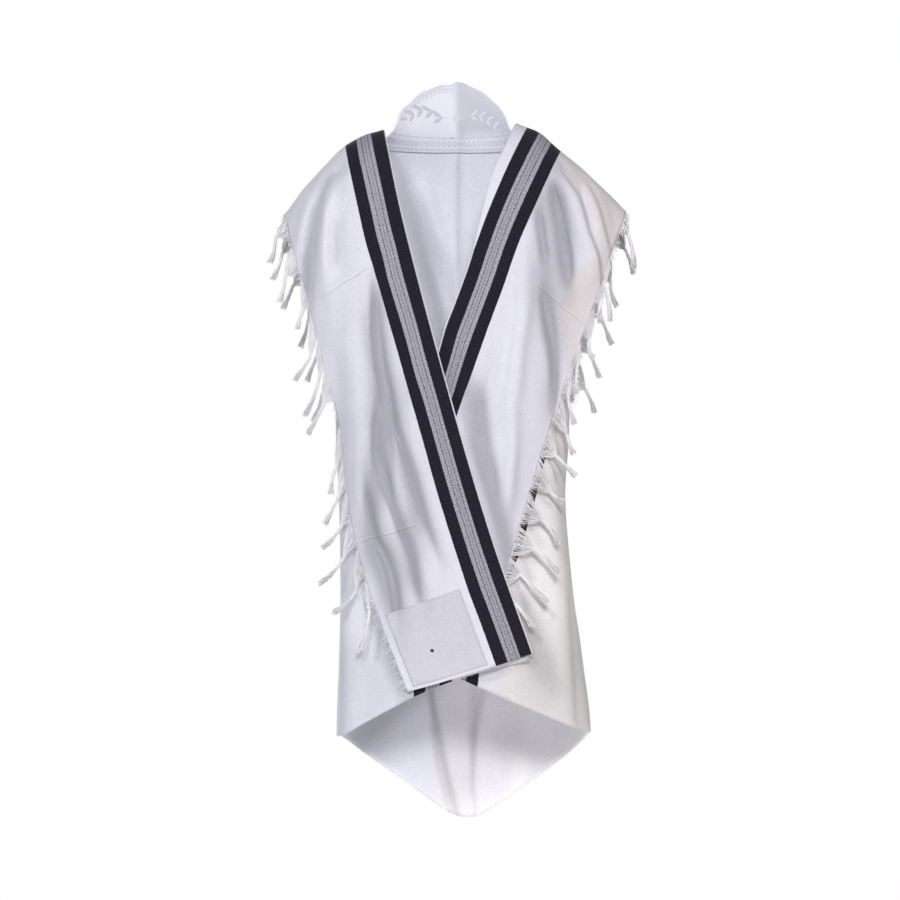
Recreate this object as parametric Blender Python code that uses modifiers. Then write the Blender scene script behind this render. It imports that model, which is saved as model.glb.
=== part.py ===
"""Tallit prayer shawl, worn: a woven wool cloth round a figure, open at the neck and hem.

Both fringed ends are folded back outward, like lapels, and lie over the shoulders. The left end lies
over the right one. Metres, +Z up, the front faces -Y, left is -X. The origin is between the shoulders,
level with the foot of the collar, where the wearer carries the cloth.
"""

import math
from collections import namedtuple

import bmesh
import bpy
from mathutils import Vector

# ---- cloth -------------------------------------------------------------------------------------
WALL = 0.002            # wool cloth
TRIM_WALL = 0.001       # satin neckband and corner patches
SEAM = 0.0003           # gap between pieces that meet
FOLD_SEAM = 0.0008      # gap where a turned fold meets the layer below it
LAYER = 0.006           # pitch of layers that lie on each other
LEFT, RIGHT = -1, 1     # sign of X on each side
ROW_CROWDING = 1.3      # rows crowd towards the top, where the cloth bends most
SHARP = math.radians(50.0)

# ---- the hollow form that the cloth hangs on ---------------------------------------------------
ROUNDNESS = 2.25        # exponent of a level's outline: 2 is an ellipse, more is squarer
Level = namedtuple("Level", "height left right front back")
LEVELS = (
    Level(height=0.110, left=0.112, right=0.096, front=0.020, back=0.058),
    Level(height=0.060, left=0.117, right=0.098, front=0.030, back=0.076),
    Level(height=0.024, left=0.120, right=0.099, front=0.040, back=0.090),
    Level(height=0.004, left=0.132, right=0.112, front=0.050, back=0.098),
    Level(height=-0.014, left=0.156, right=0.138, front=0.068, back=0.104),
    Level(height=-0.040, left=0.190, right=0.172, front=0.090, back=0.113),
    Level(height=-0.075, left=0.206, right=0.188, front=0.106, back=0.122),
    Level(height=-0.130, left=0.213, right=0.194, front=0.121, back=0.131),
    Level(height=-0.200, left=0.215, right=0.197, front=0.131, back=0.138),
    Level(height=-0.350, left=0.216, right=0.198, front=0.142, back=0.142),
    Level(height=-0.530, left=0.215, right=0.195, front=0.149, back=0.142),
    Level(height=-0.640, left=0.210, right=0.189, front=0.152, back=0.141),
    Level(height=-0.810, left=0.207, right=0.204, front=0.152, back=0.141),
    Level(height=-0.900, left=0.209, right=0.217, front=0.151, back=0.140),
    Level(height=-1.050, left=0.214, right=0.234, front=0.148, back=0.138),
    Level(height=-1.230, left=0.208, right=0.228, front=0.146, back=0.135),
)

# ---- the collar's rim, by its share of the half-width from the nape to the side -----------------
Rim = namedtuple("Rim", "share left right")
RIM = (
    Rim(share=0.00, left=0.106, right=0.106),
    Rim(share=0.30, left=0.099, right=0.094),
    Rim(share=0.55, left=0.088, right=0.075),
    Rim(share=0.70, left=0.067, right=0.062),
    Rim(share=0.85, left=0.047, right=0.046),
    Rim(share=1.00, left=0.003, right=0.003),
)
NECKBAND_FOOT = -0.012  # height of the neckband's lower edge
NECKBAND_ENDS = 76      # degrees each way from the nape
COLLAR_ROWS = 4
BACK_ROWS = 15
BACK_COLUMNS = 22
SIDE_REACH = 0.2        # radius at the sides, by which a gap there becomes an angle

# ---- hem -----------------------------------------------------------------------------------------
HEM_BACK = -1.222       # lowest point, at the middle of the back
HEM_TURN = 0.16         # how softly the hem turns there, as a share of the half-width
HEM_MIDDLE = 0.07       # angle of that point from the middle, towards the right
Side = namedtuple("Side", "hem_side hem_fold")
SIDES = {
    LEFT: Side(hem_side=-1.052, hem_fold=-0.908),
    RIGHT: Side(hem_side=-1.044, hem_fold=-0.866),
}

# ---- edges of the folded ends, seen from the front ------------------------------------------------
Edge = namedtuple("Edge", "height across")
FOLD = {
    LEFT: (Edge(0.016, -0.133), Edge(-0.159, -0.096), Edge(-0.440, -0.022),
           Edge(-0.689, 0.051), Edge(-0.897, 0.124)),
    RIGHT: (Edge(0.027, 0.104), Edge(-0.141, 0.044), Edge(-0.345, -0.023),
            Edge(-0.600, -0.088), Edge(-0.866, -0.159)),
}
FRINGE_EDGE = {
    LEFT: (Edge(-0.131, -0.308), Edge(-0.307, -0.257), Edge(-0.496, -0.211),
           Edge(-0.650, -0.190), Edge(-0.788, -0.152), Edge(-0.975, -0.081)),
    RIGHT: (Edge(-0.126, 0.296), Edge(-0.293, 0.237), Edge(-0.464, 0.173),
            Edge(-0.643, 0.115), Edge(-0.822, 0.062), Edge(-0.915, 0.037)),
}
FOLD_BACK = {
    LEFT: (Edge(0.016, -0.133), Edge(-0.150, -0.120), Edge(-0.370, -0.112)),
    RIGHT: (Edge(0.027, 0.104), Edge(-0.150, 0.108), Edge(-0.370, 0.112)),
}
FRINGE_EDGE_BACK = {
    LEFT: (Edge(-0.131, -0.308), Edge(-0.220, -0.277), Edge(-0.330, -0.242), Edge(-0.465, -0.222)),
    RIGHT: (Edge(-0.126, 0.296), Edge(-0.220, 0.260), Edge(-0.330, 0.226), Edge(-0.465, 0.208)),
}
# how far the shoulder line stands above a straight one, from the fold to the fringed edge
Ridge = namedtuple("Ridge", "share left right")
RIDGE = (
    Ridge(share=0.00, left=0.000, right=0.000),
    Ridge(share=0.20, left=0.020, right=0.014),
    Ridge(share=0.38, left=0.034, right=0.011),
    Ridge(share=0.60, left=0.024, right=0.008),
    Ridge(share=0.80, left=0.012, right=0.006),
    Ridge(share=1.00, left=0.000, right=0.000),
)

# ---- how the folded ends pass over the shoulder ---------------------------------------------------
CREST_DROP = 0.120      # height over which the cloth turns from the ridge to hanging
CREST_ARC = 0.185       # length of cloth in that turn
CREST_GROWTH = 0.45     # turn, in radians, by which a layer has its full pitch over the one below
RIDGE_FADE = 0.220      # height over which the shoulder's swell dies out
WING = {LEFT: 0.322, RIGHT: 0.310}         # half-width that the ends spread to at the shoulder
WING_FOOT = {LEFT: 0.222, RIGHT: 0.212}    # the same, once they lie on the sides
WING_TOP, WING_LOW = -0.110, -0.620
WING_FRONT, WING_BACK = 0.124, 0.128       # depth of the spread ends
WING_BLEND = 0.010      # softness of the change from lying on the body to standing off it
OVERLAP_RAMP = 0.050    # width over which the left front climbs onto the right end
OVERLAP_CLEAR = 0.014   # it is up at full height this far before that end begins
OVERLAP_SIDE = 0.5      # angle from the side, in radians, over which the climb may start
CROSSING_FADE = 0.05    # width over which the right end's folds die out under the left one
EDGE_FADE = 0.25        # share of the width over which folds die out towards the turned fold
DEEPEST_FOLD = -0.001   # a trough sinks no further, because the layer below is there
FLAP_COLUMNS = (0.0, 0.07, 0.14, 0.22, 0.30, 0.38, 0.51, 0.64, 0.77, 0.90, 1.0)
TURN_STEPS = 4          # facets of the turned fold
PATCH_TOP, PATCH_HEM = 0.136, 0.012        # patch's edges, measured from the end of the cloth
PATCH_COLUMNS = (0.38, 0.90)
FRONT_COLUMNS, FRONT_ROWS = 13, 17
FRONT_TOP = -0.016      # the fronts start here, under the folded ends
HEM_PASSES = 4          # passes that settle the slanting hem's height and place together

# ---- soft folds: a line from its top to its foot, positive is a ridge, negative a trough ----------
Fold = namedtuple("Fold", "top_x top_z foot_x foot_z width height")
FOLD_FADE = 0.15        # share of a fold's length over which it dies out at each end
FLAP_FOLDS = {
    LEFT: (
        Fold(top_x=-0.150, top_z=-0.200, foot_x=-0.100, foot_z=-0.760, width=0.060, height=0.010),
        Fold(top_x=-0.244, top_z=-0.090, foot_x=-0.255, foot_z=-0.290, width=0.020, height=-0.006),
        Fold(top_x=-0.156, top_z=-0.330, foot_x=-0.122, foot_z=-0.500, width=0.016, height=-0.006),
        Fold(top_x=-0.147, top_z=-0.530, foot_x=-0.069, foot_z=-0.790, width=0.014, height=-0.008),
        Fold(top_x=-0.126, top_z=-0.480, foot_x=-0.020, foot_z=-0.800, width=0.014, height=-0.007),
        Fold(top_x=-0.166, top_z=-0.640, foot_x=-0.112, foot_z=-0.830, width=0.014, height=-0.006),
    ),
    RIGHT: (
        Fold(top_x=0.150, top_z=-0.150, foot_x=0.120, foot_z=-0.640, width=0.055, height=0.009),
        Fold(top_x=0.168, top_z=-0.080, foot_x=0.222, foot_z=-0.270, width=0.015, height=-0.010),
        Fold(top_x=0.195, top_z=-0.080, foot_x=0.255, foot_z=-0.230, width=0.016, height=0.008),
        Fold(top_x=0.127, top_z=-0.150, foot_x=0.165, foot_z=-0.410, width=0.016, height=-0.008),
        Fold(top_x=0.135, top_z=-0.500, foot_x=0.096, foot_z=-0.680, width=0.016, height=-0.006),
    ),
}
BACK_FOLDS = (
    Fold(top_x=0.012, top_z=-0.800, foot_x=0.008, foot_z=-1.300, width=0.042, height=0.012),
    Fold(top_x=-0.120, top_z=-0.450, foot_x=-0.135, foot_z=-1.200, width=0.040, height=0.007),
    Fold(top_x=0.120, top_z=-0.450, foot_x=0.140, foot_z=-1.200, width=0.040, height=0.007),
)

# ---- fringe ---------------------------------------------------------------------------------------
STRIP_WIDTH = 0.005     # the knotted heading that carries the tassels
STRIP_WALL = 0.0015
STRIP_GAP = 0.0009      # it follows the curving edge of the cloth at this distance
EDGE_STEP = 0.004       # length of edge over which its direction is taken
TASSEL_WEB = 0.030      # length of edge whose yarns gather into one tassel
TASSEL_TURN = 0.034     # length over which a tassel turns from pointing out to hanging
TASSEL_STAND = 0.10     # how far a hanging tassel stands off the cloth
TASSEL_LEAN = 0.50      # how far a hanging tassel leans out to the side
TASSEL_SWAY = 0.22      # how much that lean differs from one tassel to the next
TASSEL_SWAY_RATE = 61.0
Station = namedtuple("Station", "along width thickness")
TASSEL = (
    Station(along=0.012, width=0.70, thickness=0.003),
    Station(along=0.024, width=0.36, thickness=0.004),
    Station(along=0.034, width=0.18, thickness=0.005),
    Station(along=0.056, width=0.15, thickness=0.0045),
    Station(along=0.066, width=0.25, thickness=0.007),
    Station(along=0.086, width=0.27, thickness=0.007),
)
Stretch = namedtuple("Stretch", "name sign front first last count")
FRINGES = (
    Stretch("fringe_left_front", LEFT, True, first=0.025, last=0.820, count=14),
    Stretch("fringe_left_back", LEFT, False, first=0.040, last=0.280, count=4),
    Stretch("fringe_right_front", RIGHT, True, first=0.025, last=0.750, count=13),
    Stretch("fringe_right_back", RIGHT, False, first=0.040, last=0.280, count=4),
)

Finish = namedtuple("Finish", "colour roughness")
WOOL = Finish(colour=(0.78, 0.78, 0.83, 1.0), roughness=0.85)
SATIN = Finish(colour=(0.80, 0.80, 0.85, 1.0), roughness=0.45)
YARN = Finish(colour=(0.80, 0.79, 0.82, 1.0), roughness=0.90)


# ---- curves and blends ----------------------------------------------------------------------------
def smooth(value):
    """Ease from 0 to 1 as value goes from 0 to 1."""
    share = min(1.0, max(0.0, value))
    return share * share * (3.0 - 2.0 * share)


def mix(start, end, share):
    """Blend two numbers or vectors."""
    return start + (end - start) * share


def read(rows, key, column, place):
    """Read a table's column at any place along its key, on a smooth curve through the rows."""
    points = sorted((getattr(row, key), getattr(row, column)) for row in rows)
    last = len(points) - 1
    if place <= points[0][0]:
        return points[0][1]
    if place >= points[last][0]:
        return points[last][1]
    low = max(i for i in range(last) if points[i][0] <= place)
    slopes = []
    for i in (low, low + 1):
        before, after = points[max(i - 1, 0)], points[min(i + 1, last)]
        slopes.append((after[1] - before[1]) / (after[0] - before[0]))
    (x0, y0), (x1, y1) = points[low], points[low + 1]
    span = x1 - x0
    t = (place - x0) / span
    return (y0 * (1 + 2 * t) * (1 - t) ** 2 + slopes[0] * span * t * (1 - t) ** 2
            + y1 * t * t * (3 - 2 * t) + slopes[1] * span * t * t * (t - 1))


def half_width(sign, height):
    """Half-width of the form on one side."""
    return read(LEVELS, "height", "left" if sign == LEFT else "right", height)


def bulge(share):
    """Depth of a level's outline, as a share, at a share of its half-width."""
    return max(0.0, 1.0 - abs(share) ** ROUNDNESS) ** (1.0 / ROUNDNESS)


def depth(x, height, face, outward):
    """Depth of a layer in front of or behind the shoulder plane, on the form grown outward."""
    across = half_width(LEFT if x < 0.0 else RIGHT, height) + outward
    return (read(LEVELS, "height", face, height) + outward) * bulge(x / across)


def relief(folds, x, height):
    """Sum of the soft folds at a place."""
    total = 0.0
    for fold in folds:
        line = Vector((fold.foot_x - fold.top_x, fold.foot_z - fold.top_z))
        place = Vector((x - fold.top_x, height - fold.top_z))
        along = place.dot(line) / line.length_squared
        aside = (place - line * along).length / fold.width
        start = smooth((along + FOLD_FADE) / (2.0 * FOLD_FADE))
        end = smooth((1.0 + FOLD_FADE - along) / (2.0 * FOLD_FADE))
        total += fold.height * start * end * math.exp(-aside * aside)
    return total


# ---- the stretches of the cloth that hang round the body -----------------------------------------
def back_point(angle, height, outward=0.0):
    """Point of the back at an angle from the nape, positive towards the right."""
    sine, cosine = math.sin(angle), math.cos(angle)
    reach = (abs(sine) ** ROUNDNESS + abs(cosine) ** ROUNDNESS) ** (-1.0 / ROUNDNESS)
    sign = LEFT if sine < 0.0 else RIGHT
    x = half_width(sign, height) * sine * reach
    y = read(LEVELS, "height", "back", height) * cosine * reach
    push = outward + relief(BACK_FOLDS, x, height) * cosine
    return Vector((x + push * sine, y + push * cosine, height))


def rim_height(angle):
    """Height of the collar's rim at an angle from the nape."""
    sine, cosine = abs(math.sin(angle)), abs(math.cos(angle))
    share = sine * (sine ** ROUNDNESS + cosine ** ROUNDNESS) ** (-1.0 / ROUNDNESS)
    return read(RIM, "share", "left" if angle < 0.0 else "right", share)


def back_hem(angle):
    """Height of the hem at an angle from the middle of the back."""
    side = SIDES[LEFT if angle < HEM_MIDDLE else RIGHT].hem_side
    share = abs(math.sin((angle - HEM_MIDDLE) / (1.0 + abs(HEM_MIDDLE) * 2.0 / math.pi)))
    turn = math.hypot(share, HEM_TURN) - HEM_TURN
    return mix(HEM_BACK, side, turn / (math.hypot(1.0, HEM_TURN) - HEM_TURN))


def back_heights(angle):
    """Heights of the rows of the back, from the rim to the hem."""
    rim, hem = rim_height(angle), back_hem(angle)
    collar = [mix(rim, NECKBAND_FOOT, i / COLLAR_ROWS) for i in range(COLLAR_ROWS)]
    body = [mix(NECKBAND_FOOT, hem, (i / BACK_ROWS) ** ROW_CROWDING) for i in range(BACK_ROWS + 1)]
    return collar + body


def fold_across(sign, height):
    """Where the fold of one side lies, across the front."""
    return read(FOLD[sign], "height", "across", height)


def overlap(sign, x, height):
    """How far a front stretch is lifted off the form by the other side's layers under it."""
    if sign == RIGHT:
        return 0.0
    reach = x - (fold_across(RIGHT, height) - OVERLAP_RAMP - OVERLAP_CLEAR)
    return 2.0 * LAYER * smooth(reach / OVERLAP_RAMP)


def front_point(sign, angle, height):
    """Point of a front stretch at an angle from the side, past 90 degrees beyond the middle."""
    sine, cosine = math.sin(angle), math.cos(angle)
    reach = (abs(sine) ** ROUNDNESS + abs(cosine) ** ROUNDNESS) ** (-1.0 / ROUNDNESS)
    side = sign if cosine > 0.0 else -sign
    across = half_width(side, height)
    lift = overlap(sign, sign * across * cosine * reach, height) * smooth(angle / OVERLAP_SIDE)
    y = -(read(LEVELS, "height", "front", height) + lift) * sine * reach
    return Vector((sign * (across + lift) * cosine * reach, y, height))


def fold_angle(sign, height):
    """Angle from the side at which a front stretch reaches its fold."""
    x = fold_across(sign, height) + sign * FOLD_SEAM
    side = LEFT if x < 0.0 else RIGHT
    share = sign * x / (half_width(side, height) + overlap(sign, x, height))
    return math.atan2(bulge(share), share)


def front_grid(sign):
    """Rows of points of a front stretch, from the shoulder to the hem, from the side to the fold."""
    side = SIDES[sign]
    rows = []
    for i in range(FRONT_ROWS + 1):
        drop = (i / FRONT_ROWS) ** ROW_CROWDING
        row = []
        for j in range(FRONT_COLUMNS + 1):
            share = j / FRONT_COLUMNS
            height = mix(FRONT_TOP, mix(side.hem_side, side.hem_fold, share), drop)
            for _ in range(HEM_PASSES):
                angle = mix(SEAM / SIDE_REACH, fold_angle(sign, height), share)
                x = front_point(sign, angle, height).x
                fold = fold_across(sign, side.hem_fold)
                start = sign * half_width(sign, side.hem_side)
                hem = mix(side.hem_side, side.hem_fold, (x - start) / (fold - start))
                height = mix(FRONT_TOP, hem, drop)
            row.append(front_point(sign, angle, height))
        rows.append(row)
    return rows


def back_grid():
    """Rows of points of the back stretch, from the rim to the hem, from left to right."""
    limit = math.pi / 2.0 - SEAM / SIDE_REACH
    angles = [limit * (2.0 * j / BACK_COLUMNS - 1.0) for j in range(BACK_COLUMNS + 1)]
    columns = [[back_point(angle, height) for height in back_heights(angle)] for angle in angles]
    return [list(row) for row in zip(*columns)]


# ---- the folded ends -------------------------------------------------------------------------------
def crest(arc):
    """Drop below the ridge, and turn in radians, after a length of cloth from the ridge."""
    turn = min(1.0, arc / CREST_ARC) * math.pi / 2.0
    return CREST_DROP * (1.0 - math.cos(turn)) + max(0.0, arc - CREST_ARC), turn


def flap_length(edge):
    """Length of cloth along an edge, from the ridge to the end."""
    return edge[0].height - edge[-1].height - CREST_DROP + CREST_ARC


def flap_point(sign, front, arc, share):
    """Point of a folded end: arc is measured along its fold from the ridge, share across it."""
    inner = FOLD[sign] if front else FOLD_BACK[sign]
    outer = FRINGE_EDGE[sign] if front else FRINGE_EDGE_BACK[sign]
    places = []
    for edge in (inner, outer):
        drop, _ = crest(arc * flap_length(edge) / flap_length(inner))
        height = edge[0].height - drop
        places.append((read(edge, "height", "across", height), height))
    x = mix(places[0][0], places[1][0], share)
    drop, turn = crest(arc)
    swell = read(RIDGE, "share", "left" if sign == LEFT else "right", share)
    height = mix(places[0][1], places[1][1], share) + swell * smooth(1.0 - drop / RIDGE_FADE)
    lie = smooth((WING_TOP - height) / (WING_TOP - WING_LOW))
    spread = mix(WING[sign], WING_FOOT[sign], lie) if front else WING[sign]
    below = LAYER + (overlap(sign, x, height) if front else 0.0)
    body = depth(x, height, "front" if front else "back", below * smooth(turn / CREST_GROWTH))
    wing = (WING_FRONT if front else WING_BACK) * bulge(min(1.0, abs(x) / spread)) * math.sin(turn)
    reach = (body + wing + math.hypot(body - wing, WING_BLEND * math.sin(turn))) / 2.0
    if front:
        crossing = smooth((x - fold_across(LEFT, height)) / CROSSING_FADE)
        cover = crossing if sign == RIGHT else 1.0
        edge_fade = smooth(share / EDGE_FADE)
        lift = max(DEEPEST_FOLD, relief(FLAP_FOLDS[sign], x, height))
        reach += lift * cover * edge_fade * math.sin(turn)
        return Vector((x, -reach, height))
    return Vector((x, reach, height))


def front_arcs(sign):
    """Lengths from the ridge at which the rows of a folded end lie, down the front."""
    total = flap_length(FOLD[sign])
    crest_rows = [CREST_ARC * i / 6 for i in range(6)]
    long_rows = [mix(CREST_ARC, total - PATCH_TOP, i / 11) for i in range(11)]
    patch_rows = [mix(total - PATCH_TOP, total - PATCH_HEM, i / 3) for i in range(4)]
    return crest_rows + long_rows + patch_rows + [total]


def back_arcs(sign):
    """Lengths from the ridge at which the rows of a folded end lie, down the back."""
    total = flap_length(FOLD_BACK[sign])
    crest_rows = [CREST_ARC * i / 6 for i in range(1, 6)]
    long_rows = [mix(CREST_ARC, total - PATCH_TOP, i / 2) for i in range(2)]
    patch_rows = [mix(total - PATCH_TOP, total - PATCH_HEM, i / 3) for i in range(4)]
    return crest_rows + long_rows + patch_rows + [total]


def flap_stations(sign):
    """Rows of a folded end from its front end over the shoulder to its back end."""
    front = [(True, arc) for arc in reversed(front_arcs(sign))]
    return front + [(False, arc) for arc in back_arcs(sign)]


def flap_panel(sign):
    """Rows of points of a folded end, from its fold to its fringed edge."""
    return [[flap_point(sign, front, arc, share) for share in FLAP_COLUMNS]
            for front, arc in flap_stations(sign)]


def turned_fold(sign, panel):
    """Points of the turned fold of each row, from the lower layer up to the panel's first column."""
    rows = []
    for (front, arc), row in zip(flap_stations(sign), panel):
        _, turn = crest(arc)
        inward = Vector((0.0, math.sin(turn) * (1 if front else -1), -math.cos(turn)))
        aside = row[0] - row[1]
        aside = (aside - inward * aside.dot(inward)).normalized()
        radius = LAYER / 2.0
        points = []
        for k in range(TURN_STEPS, 0, -1):
            angle = math.pi * k / TURN_STEPS
            points.append(row[0] + aside * radius * math.sin(angle)
                          + inward * radius * (1.0 - math.cos(angle)))
        rows.append(points)
    return rows


# ---- meshes ------------------------------------------------------------------------------------------
def finish(name, look):
    """Make a material."""
    material = bpy.data.materials.new(name)
    material.use_nodes = True
    shader = material.node_tree.nodes["Principled BSDF"]
    shader.inputs["Base Color"].default_value = look.colour
    shader.inputs["Roughness"].default_value = look.roughness
    shader.inputs["Metallic"].default_value = 0.0
    return material


def place(name, mesh, look, collection):
    """Put a mesh in the collection as a named object with its own material."""
    mesh.materials.append(finish(name + "_cloth", look))
    mesh.shade_smooth()
    mesh.set_sharp_from_angle(angle=SHARP)
    piece = bpy.data.objects.new(name, mesh)
    collection.objects.link(piece)
    return piece


def sheet(name, rows, wall, look, collection):
    """Make a cloth piece: a grid of points with a wall that is centred on it."""
    mesh_maker = bmesh.new()
    grid = [[mesh_maker.verts.new(point) for point in row] for row in rows]
    for upper, lower in zip(grid, grid[1:]):
        for j in range(len(upper) - 1):
            mesh_maker.faces.new((upper[j], upper[j + 1], lower[j + 1], lower[j]))
    mesh = bpy.data.meshes.new(name)
    mesh_maker.to_mesh(mesh)
    mesh_maker.free()
    piece = place(name, mesh, look, collection)
    thickness = piece.modifiers.new("wall", "SOLIDIFY")
    thickness.thickness = wall
    thickness.offset = 0.0
    thickness.use_even_offset = True
    return piece


def grid_normals(rows):
    """Unit normals of a grid, one for each point."""
    normals = []
    last_row, last_column = len(rows) - 1, len(rows[0]) - 1
    for i in range(last_row + 1):
        line = []
        for j in range(last_column + 1):
            across = rows[i][min(j + 1, last_column)] - rows[i][max(j - 1, 0)]
            down = rows[min(i + 1, last_row)][j] - rows[max(i - 1, 0)][j]
            line.append(across.cross(down).normalized())
        normals.append(line)
    return normals


def moved_out(rows, normals, distance):
    """The same grid, moved along its normals."""
    return [[point + normal * distance for point, normal in zip(line, facing)]
            for line, facing in zip(rows, normals)]


# ---- pieces --------------------------------------------------------------------------------------------
def build_neckband(back, collection):
    """The satin neckband, inside the collar."""
    normals = grid_normals(back)
    columns = [j for j in range(BACK_COLUMNS + 1)
               if abs(2.0 * j / BACK_COLUMNS - 1.0) * 90.0 <= NECKBAND_ENDS]
    rows = [[back[i][j] for j in columns] for i in range(COLLAR_ROWS + 1)]
    facing = [[normals[i][j] for j in columns] for i in range(COLLAR_ROWS + 1)]
    gap = (WALL + TRIM_WALL) / 2.0 + SEAM
    inside = -gap if facing[0][len(columns) // 2].y > 0.0 else gap
    sheet("atarah", moved_out(rows, facing, inside), TRIM_WALL, SATIN, collection)


def build_patch(name, sign, panel, front, collection):
    """A corner patch: the panel's own points at its outer lower corner, moved out."""
    first, last = (FLAP_COLUMNS.index(share) for share in PATCH_COLUMNS)
    rows = panel[1:5] if front else panel[-5:-1]
    facing = grid_normals(panel)
    facing = facing[1:5] if front else facing[-5:-1]
    rows = [row[first:last + 1] for row in rows]
    facing = [row[first:last + 1] for row in facing]
    gap = (WALL + TRIM_WALL) / 2.0 + SEAM
    toward = -1.0 if front else 1.0
    outward = gap if facing[1][1].y * toward > 0.0 else -gap
    sheet(name, moved_out(rows, facing, outward), TRIM_WALL, WOOL, collection)


def edge_frame(panel, stations, stretch):
    """Points of a fringed edge in one stretch, each with the direction away from the cloth."""
    edge = []
    for (front, arc), row in zip(stations, panel):
        if front == stretch.front or arc == 0.0:
            edge.append((arc, row[-1], (row[-1] - row[-2]).normalized()))
    return sorted(edge, key=lambda item: item[0])


def along_edge(edge, arc):
    """Point and outward direction at a length along an edge, straight between its rows."""
    for (low, start, out_start), (high, end, out_end) in zip(edge, edge[1:]):
        if low <= arc <= high:
            share = (arc - low) / (high - low)
            return mix(start, end, share), mix(out_start, out_end, share).normalized()
    return edge[-1][1], edge[-1][2]


def strip_ring(edge, arc, distance, thickness):
    """Points of both faces at a distance out from the cloth's edge, with the normal and way out."""
    point, out = along_edge(edge, arc)
    before = along_edge(edge, max(0.0, arc - EDGE_STEP))[0]
    tangent = along_edge(edge, arc + EDGE_STEP)[0] - before
    normal = out.cross(tangent).normalized()
    if normal.y > 0.0:
        normal.negate()
    middle = point + out * distance
    return middle + normal * thickness / 2.0, middle - normal * thickness / 2.0, normal, out


def build_fringe(stretch, panel, collection):
    """A heading strip beside the cloth's edge, with its tassels grown out of its outer face."""
    edge = edge_frame(panel, flap_stations(stretch.sign), stretch)
    pitch = (stretch.last - stretch.first) / stretch.count
    arcs, webs = [], []
    for k in range(stretch.count):
        start = stretch.first + k * pitch
        gap = (pitch - TASSEL_WEB) / 2.0
        arcs += [start, start + gap, start + gap + TASSEL_WEB]
        webs.append(len(arcs) - 2)
    arcs.append(stretch.last)
    maker = bmesh.new()
    rings = []
    for arc in arcs:
        near = strip_ring(edge, arc, STRIP_GAP, STRIP_WALL)
        far = strip_ring(edge, arc, STRIP_GAP + STRIP_WIDTH, STRIP_WALL)
        corners = (near[0], far[0], far[1], near[1])
        rings.append([maker.verts.new(corner) for corner in corners])
    maker.faces.new(rings[0])
    maker.faces.new(tuple(reversed(rings[-1])))
    for i, (low, high) in enumerate(zip(rings, rings[1:])):
        for j in range(4):
            if j == 1 and i in webs:
                continue
            k = (j + 1) % 4
            maker.faces.new((low[j], high[j], high[k], low[k]))
    for i in webs:
        root = (rings[i][1], rings[i + 1][1], rings[i + 1][2], rings[i][2])
        grow_tassel(maker, root, strip_ring(edge, (arcs[i] + arcs[i + 1]) / 2.0, 0.0, 0.0))
    bmesh.ops.recalc_face_normals(maker, faces=maker.faces)
    mesh = bpy.data.meshes.new(stretch.name)
    maker.to_mesh(mesh)
    maker.free()
    place(stretch.name, mesh, YARN, collection)


def grow_tassel(maker, root, frame):
    """Grow one tassel from four corners of the strip, out and then down."""
    _, _, normal, out = frame
    centre = sum((corner.co for corner in root), Vector()) / 4.0
    width_axis = (root[1].co - root[0].co).normalized()
    sway = math.sin(centre.z * TASSEL_SWAY_RATE)
    outside = Vector((math.copysign(TASSEL_LEAN + TASSEL_SWAY * sway, out.x), 0.0, -1.0))
    hang = (outside + (out + normal) * TASSEL_STAND).normalized()
    ring, done = list(root), 0.0
    for station in TASSEL:
        bend = smooth(station.along / TASSEL_TURN)
        heading = mix(out, hang, bend).normalized()
        centre = centre + heading * (station.along - done)
        done = station.along
        side = (width_axis - heading * width_axis.dot(heading)).normalized()
        face = heading.cross(side)
        if face.dot(normal) < 0.0:
            face.negate()
        half = TASSEL_WEB * station.width / 2.0
        thick = station.thickness / 2.0
        corners = (centre - side * half + face * thick, centre + side * half + face * thick,
                   centre + side * half - face * thick, centre - side * half - face * thick)
        after = [maker.verts.new(corner) for corner in corners]
        for j in range(4):
            k = (j + 1) % 4
            maker.faces.new((ring[j], after[j], after[k], ring[k]))
        ring = after
    maker.faces.new(tuple(reversed(ring)))


def build():
    """Build the whole shawl."""
    for old in list(bpy.data.objects):
        bpy.data.objects.remove(old, do_unlink=True)
    collection = bpy.data.collections.new("tallit_prayer_shawl")
    bpy.context.scene.collection.children.link(collection)
    back = back_grid()
    sheet("back", back, WALL, WOOL, collection)
    sheet("front_left", front_grid(LEFT), WALL, WOOL, collection)
    sheet("front_right", front_grid(RIGHT), WALL, WOOL, collection)
    build_neckband(back, collection)
    panels = {}
    for sign, name in ((LEFT, "left"), (RIGHT, "right")):
        panel = flap_panel(sign)
        panels[sign] = panel
        turn = turned_fold(sign, panel)
        sheet("flap_" + name, [a + b for a, b in zip(turn, panel)], WALL, WOOL, collection)
        build_patch("corner_patch_%s_front" % name, sign, panel, True, collection)
        build_patch("corner_patch_%s_back" % name, sign, panel, False, collection)
    for stretch in FRINGES:
        build_fringe(stretch, panels[stretch.sign], collection)


build()
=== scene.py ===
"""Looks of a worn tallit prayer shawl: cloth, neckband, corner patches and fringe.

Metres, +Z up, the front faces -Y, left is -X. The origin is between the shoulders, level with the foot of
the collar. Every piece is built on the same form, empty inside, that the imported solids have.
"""

from __future__ import annotations

import logging
import math
from dataclasses import dataclass, field
from enum import Enum
from typing import Iterable, Sequence

import bmesh
import bpy
import numpy as np
from bpy.types import Material, Mesh, Node, NodeSocket, NodeTree, Object
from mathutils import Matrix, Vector, noise


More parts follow.
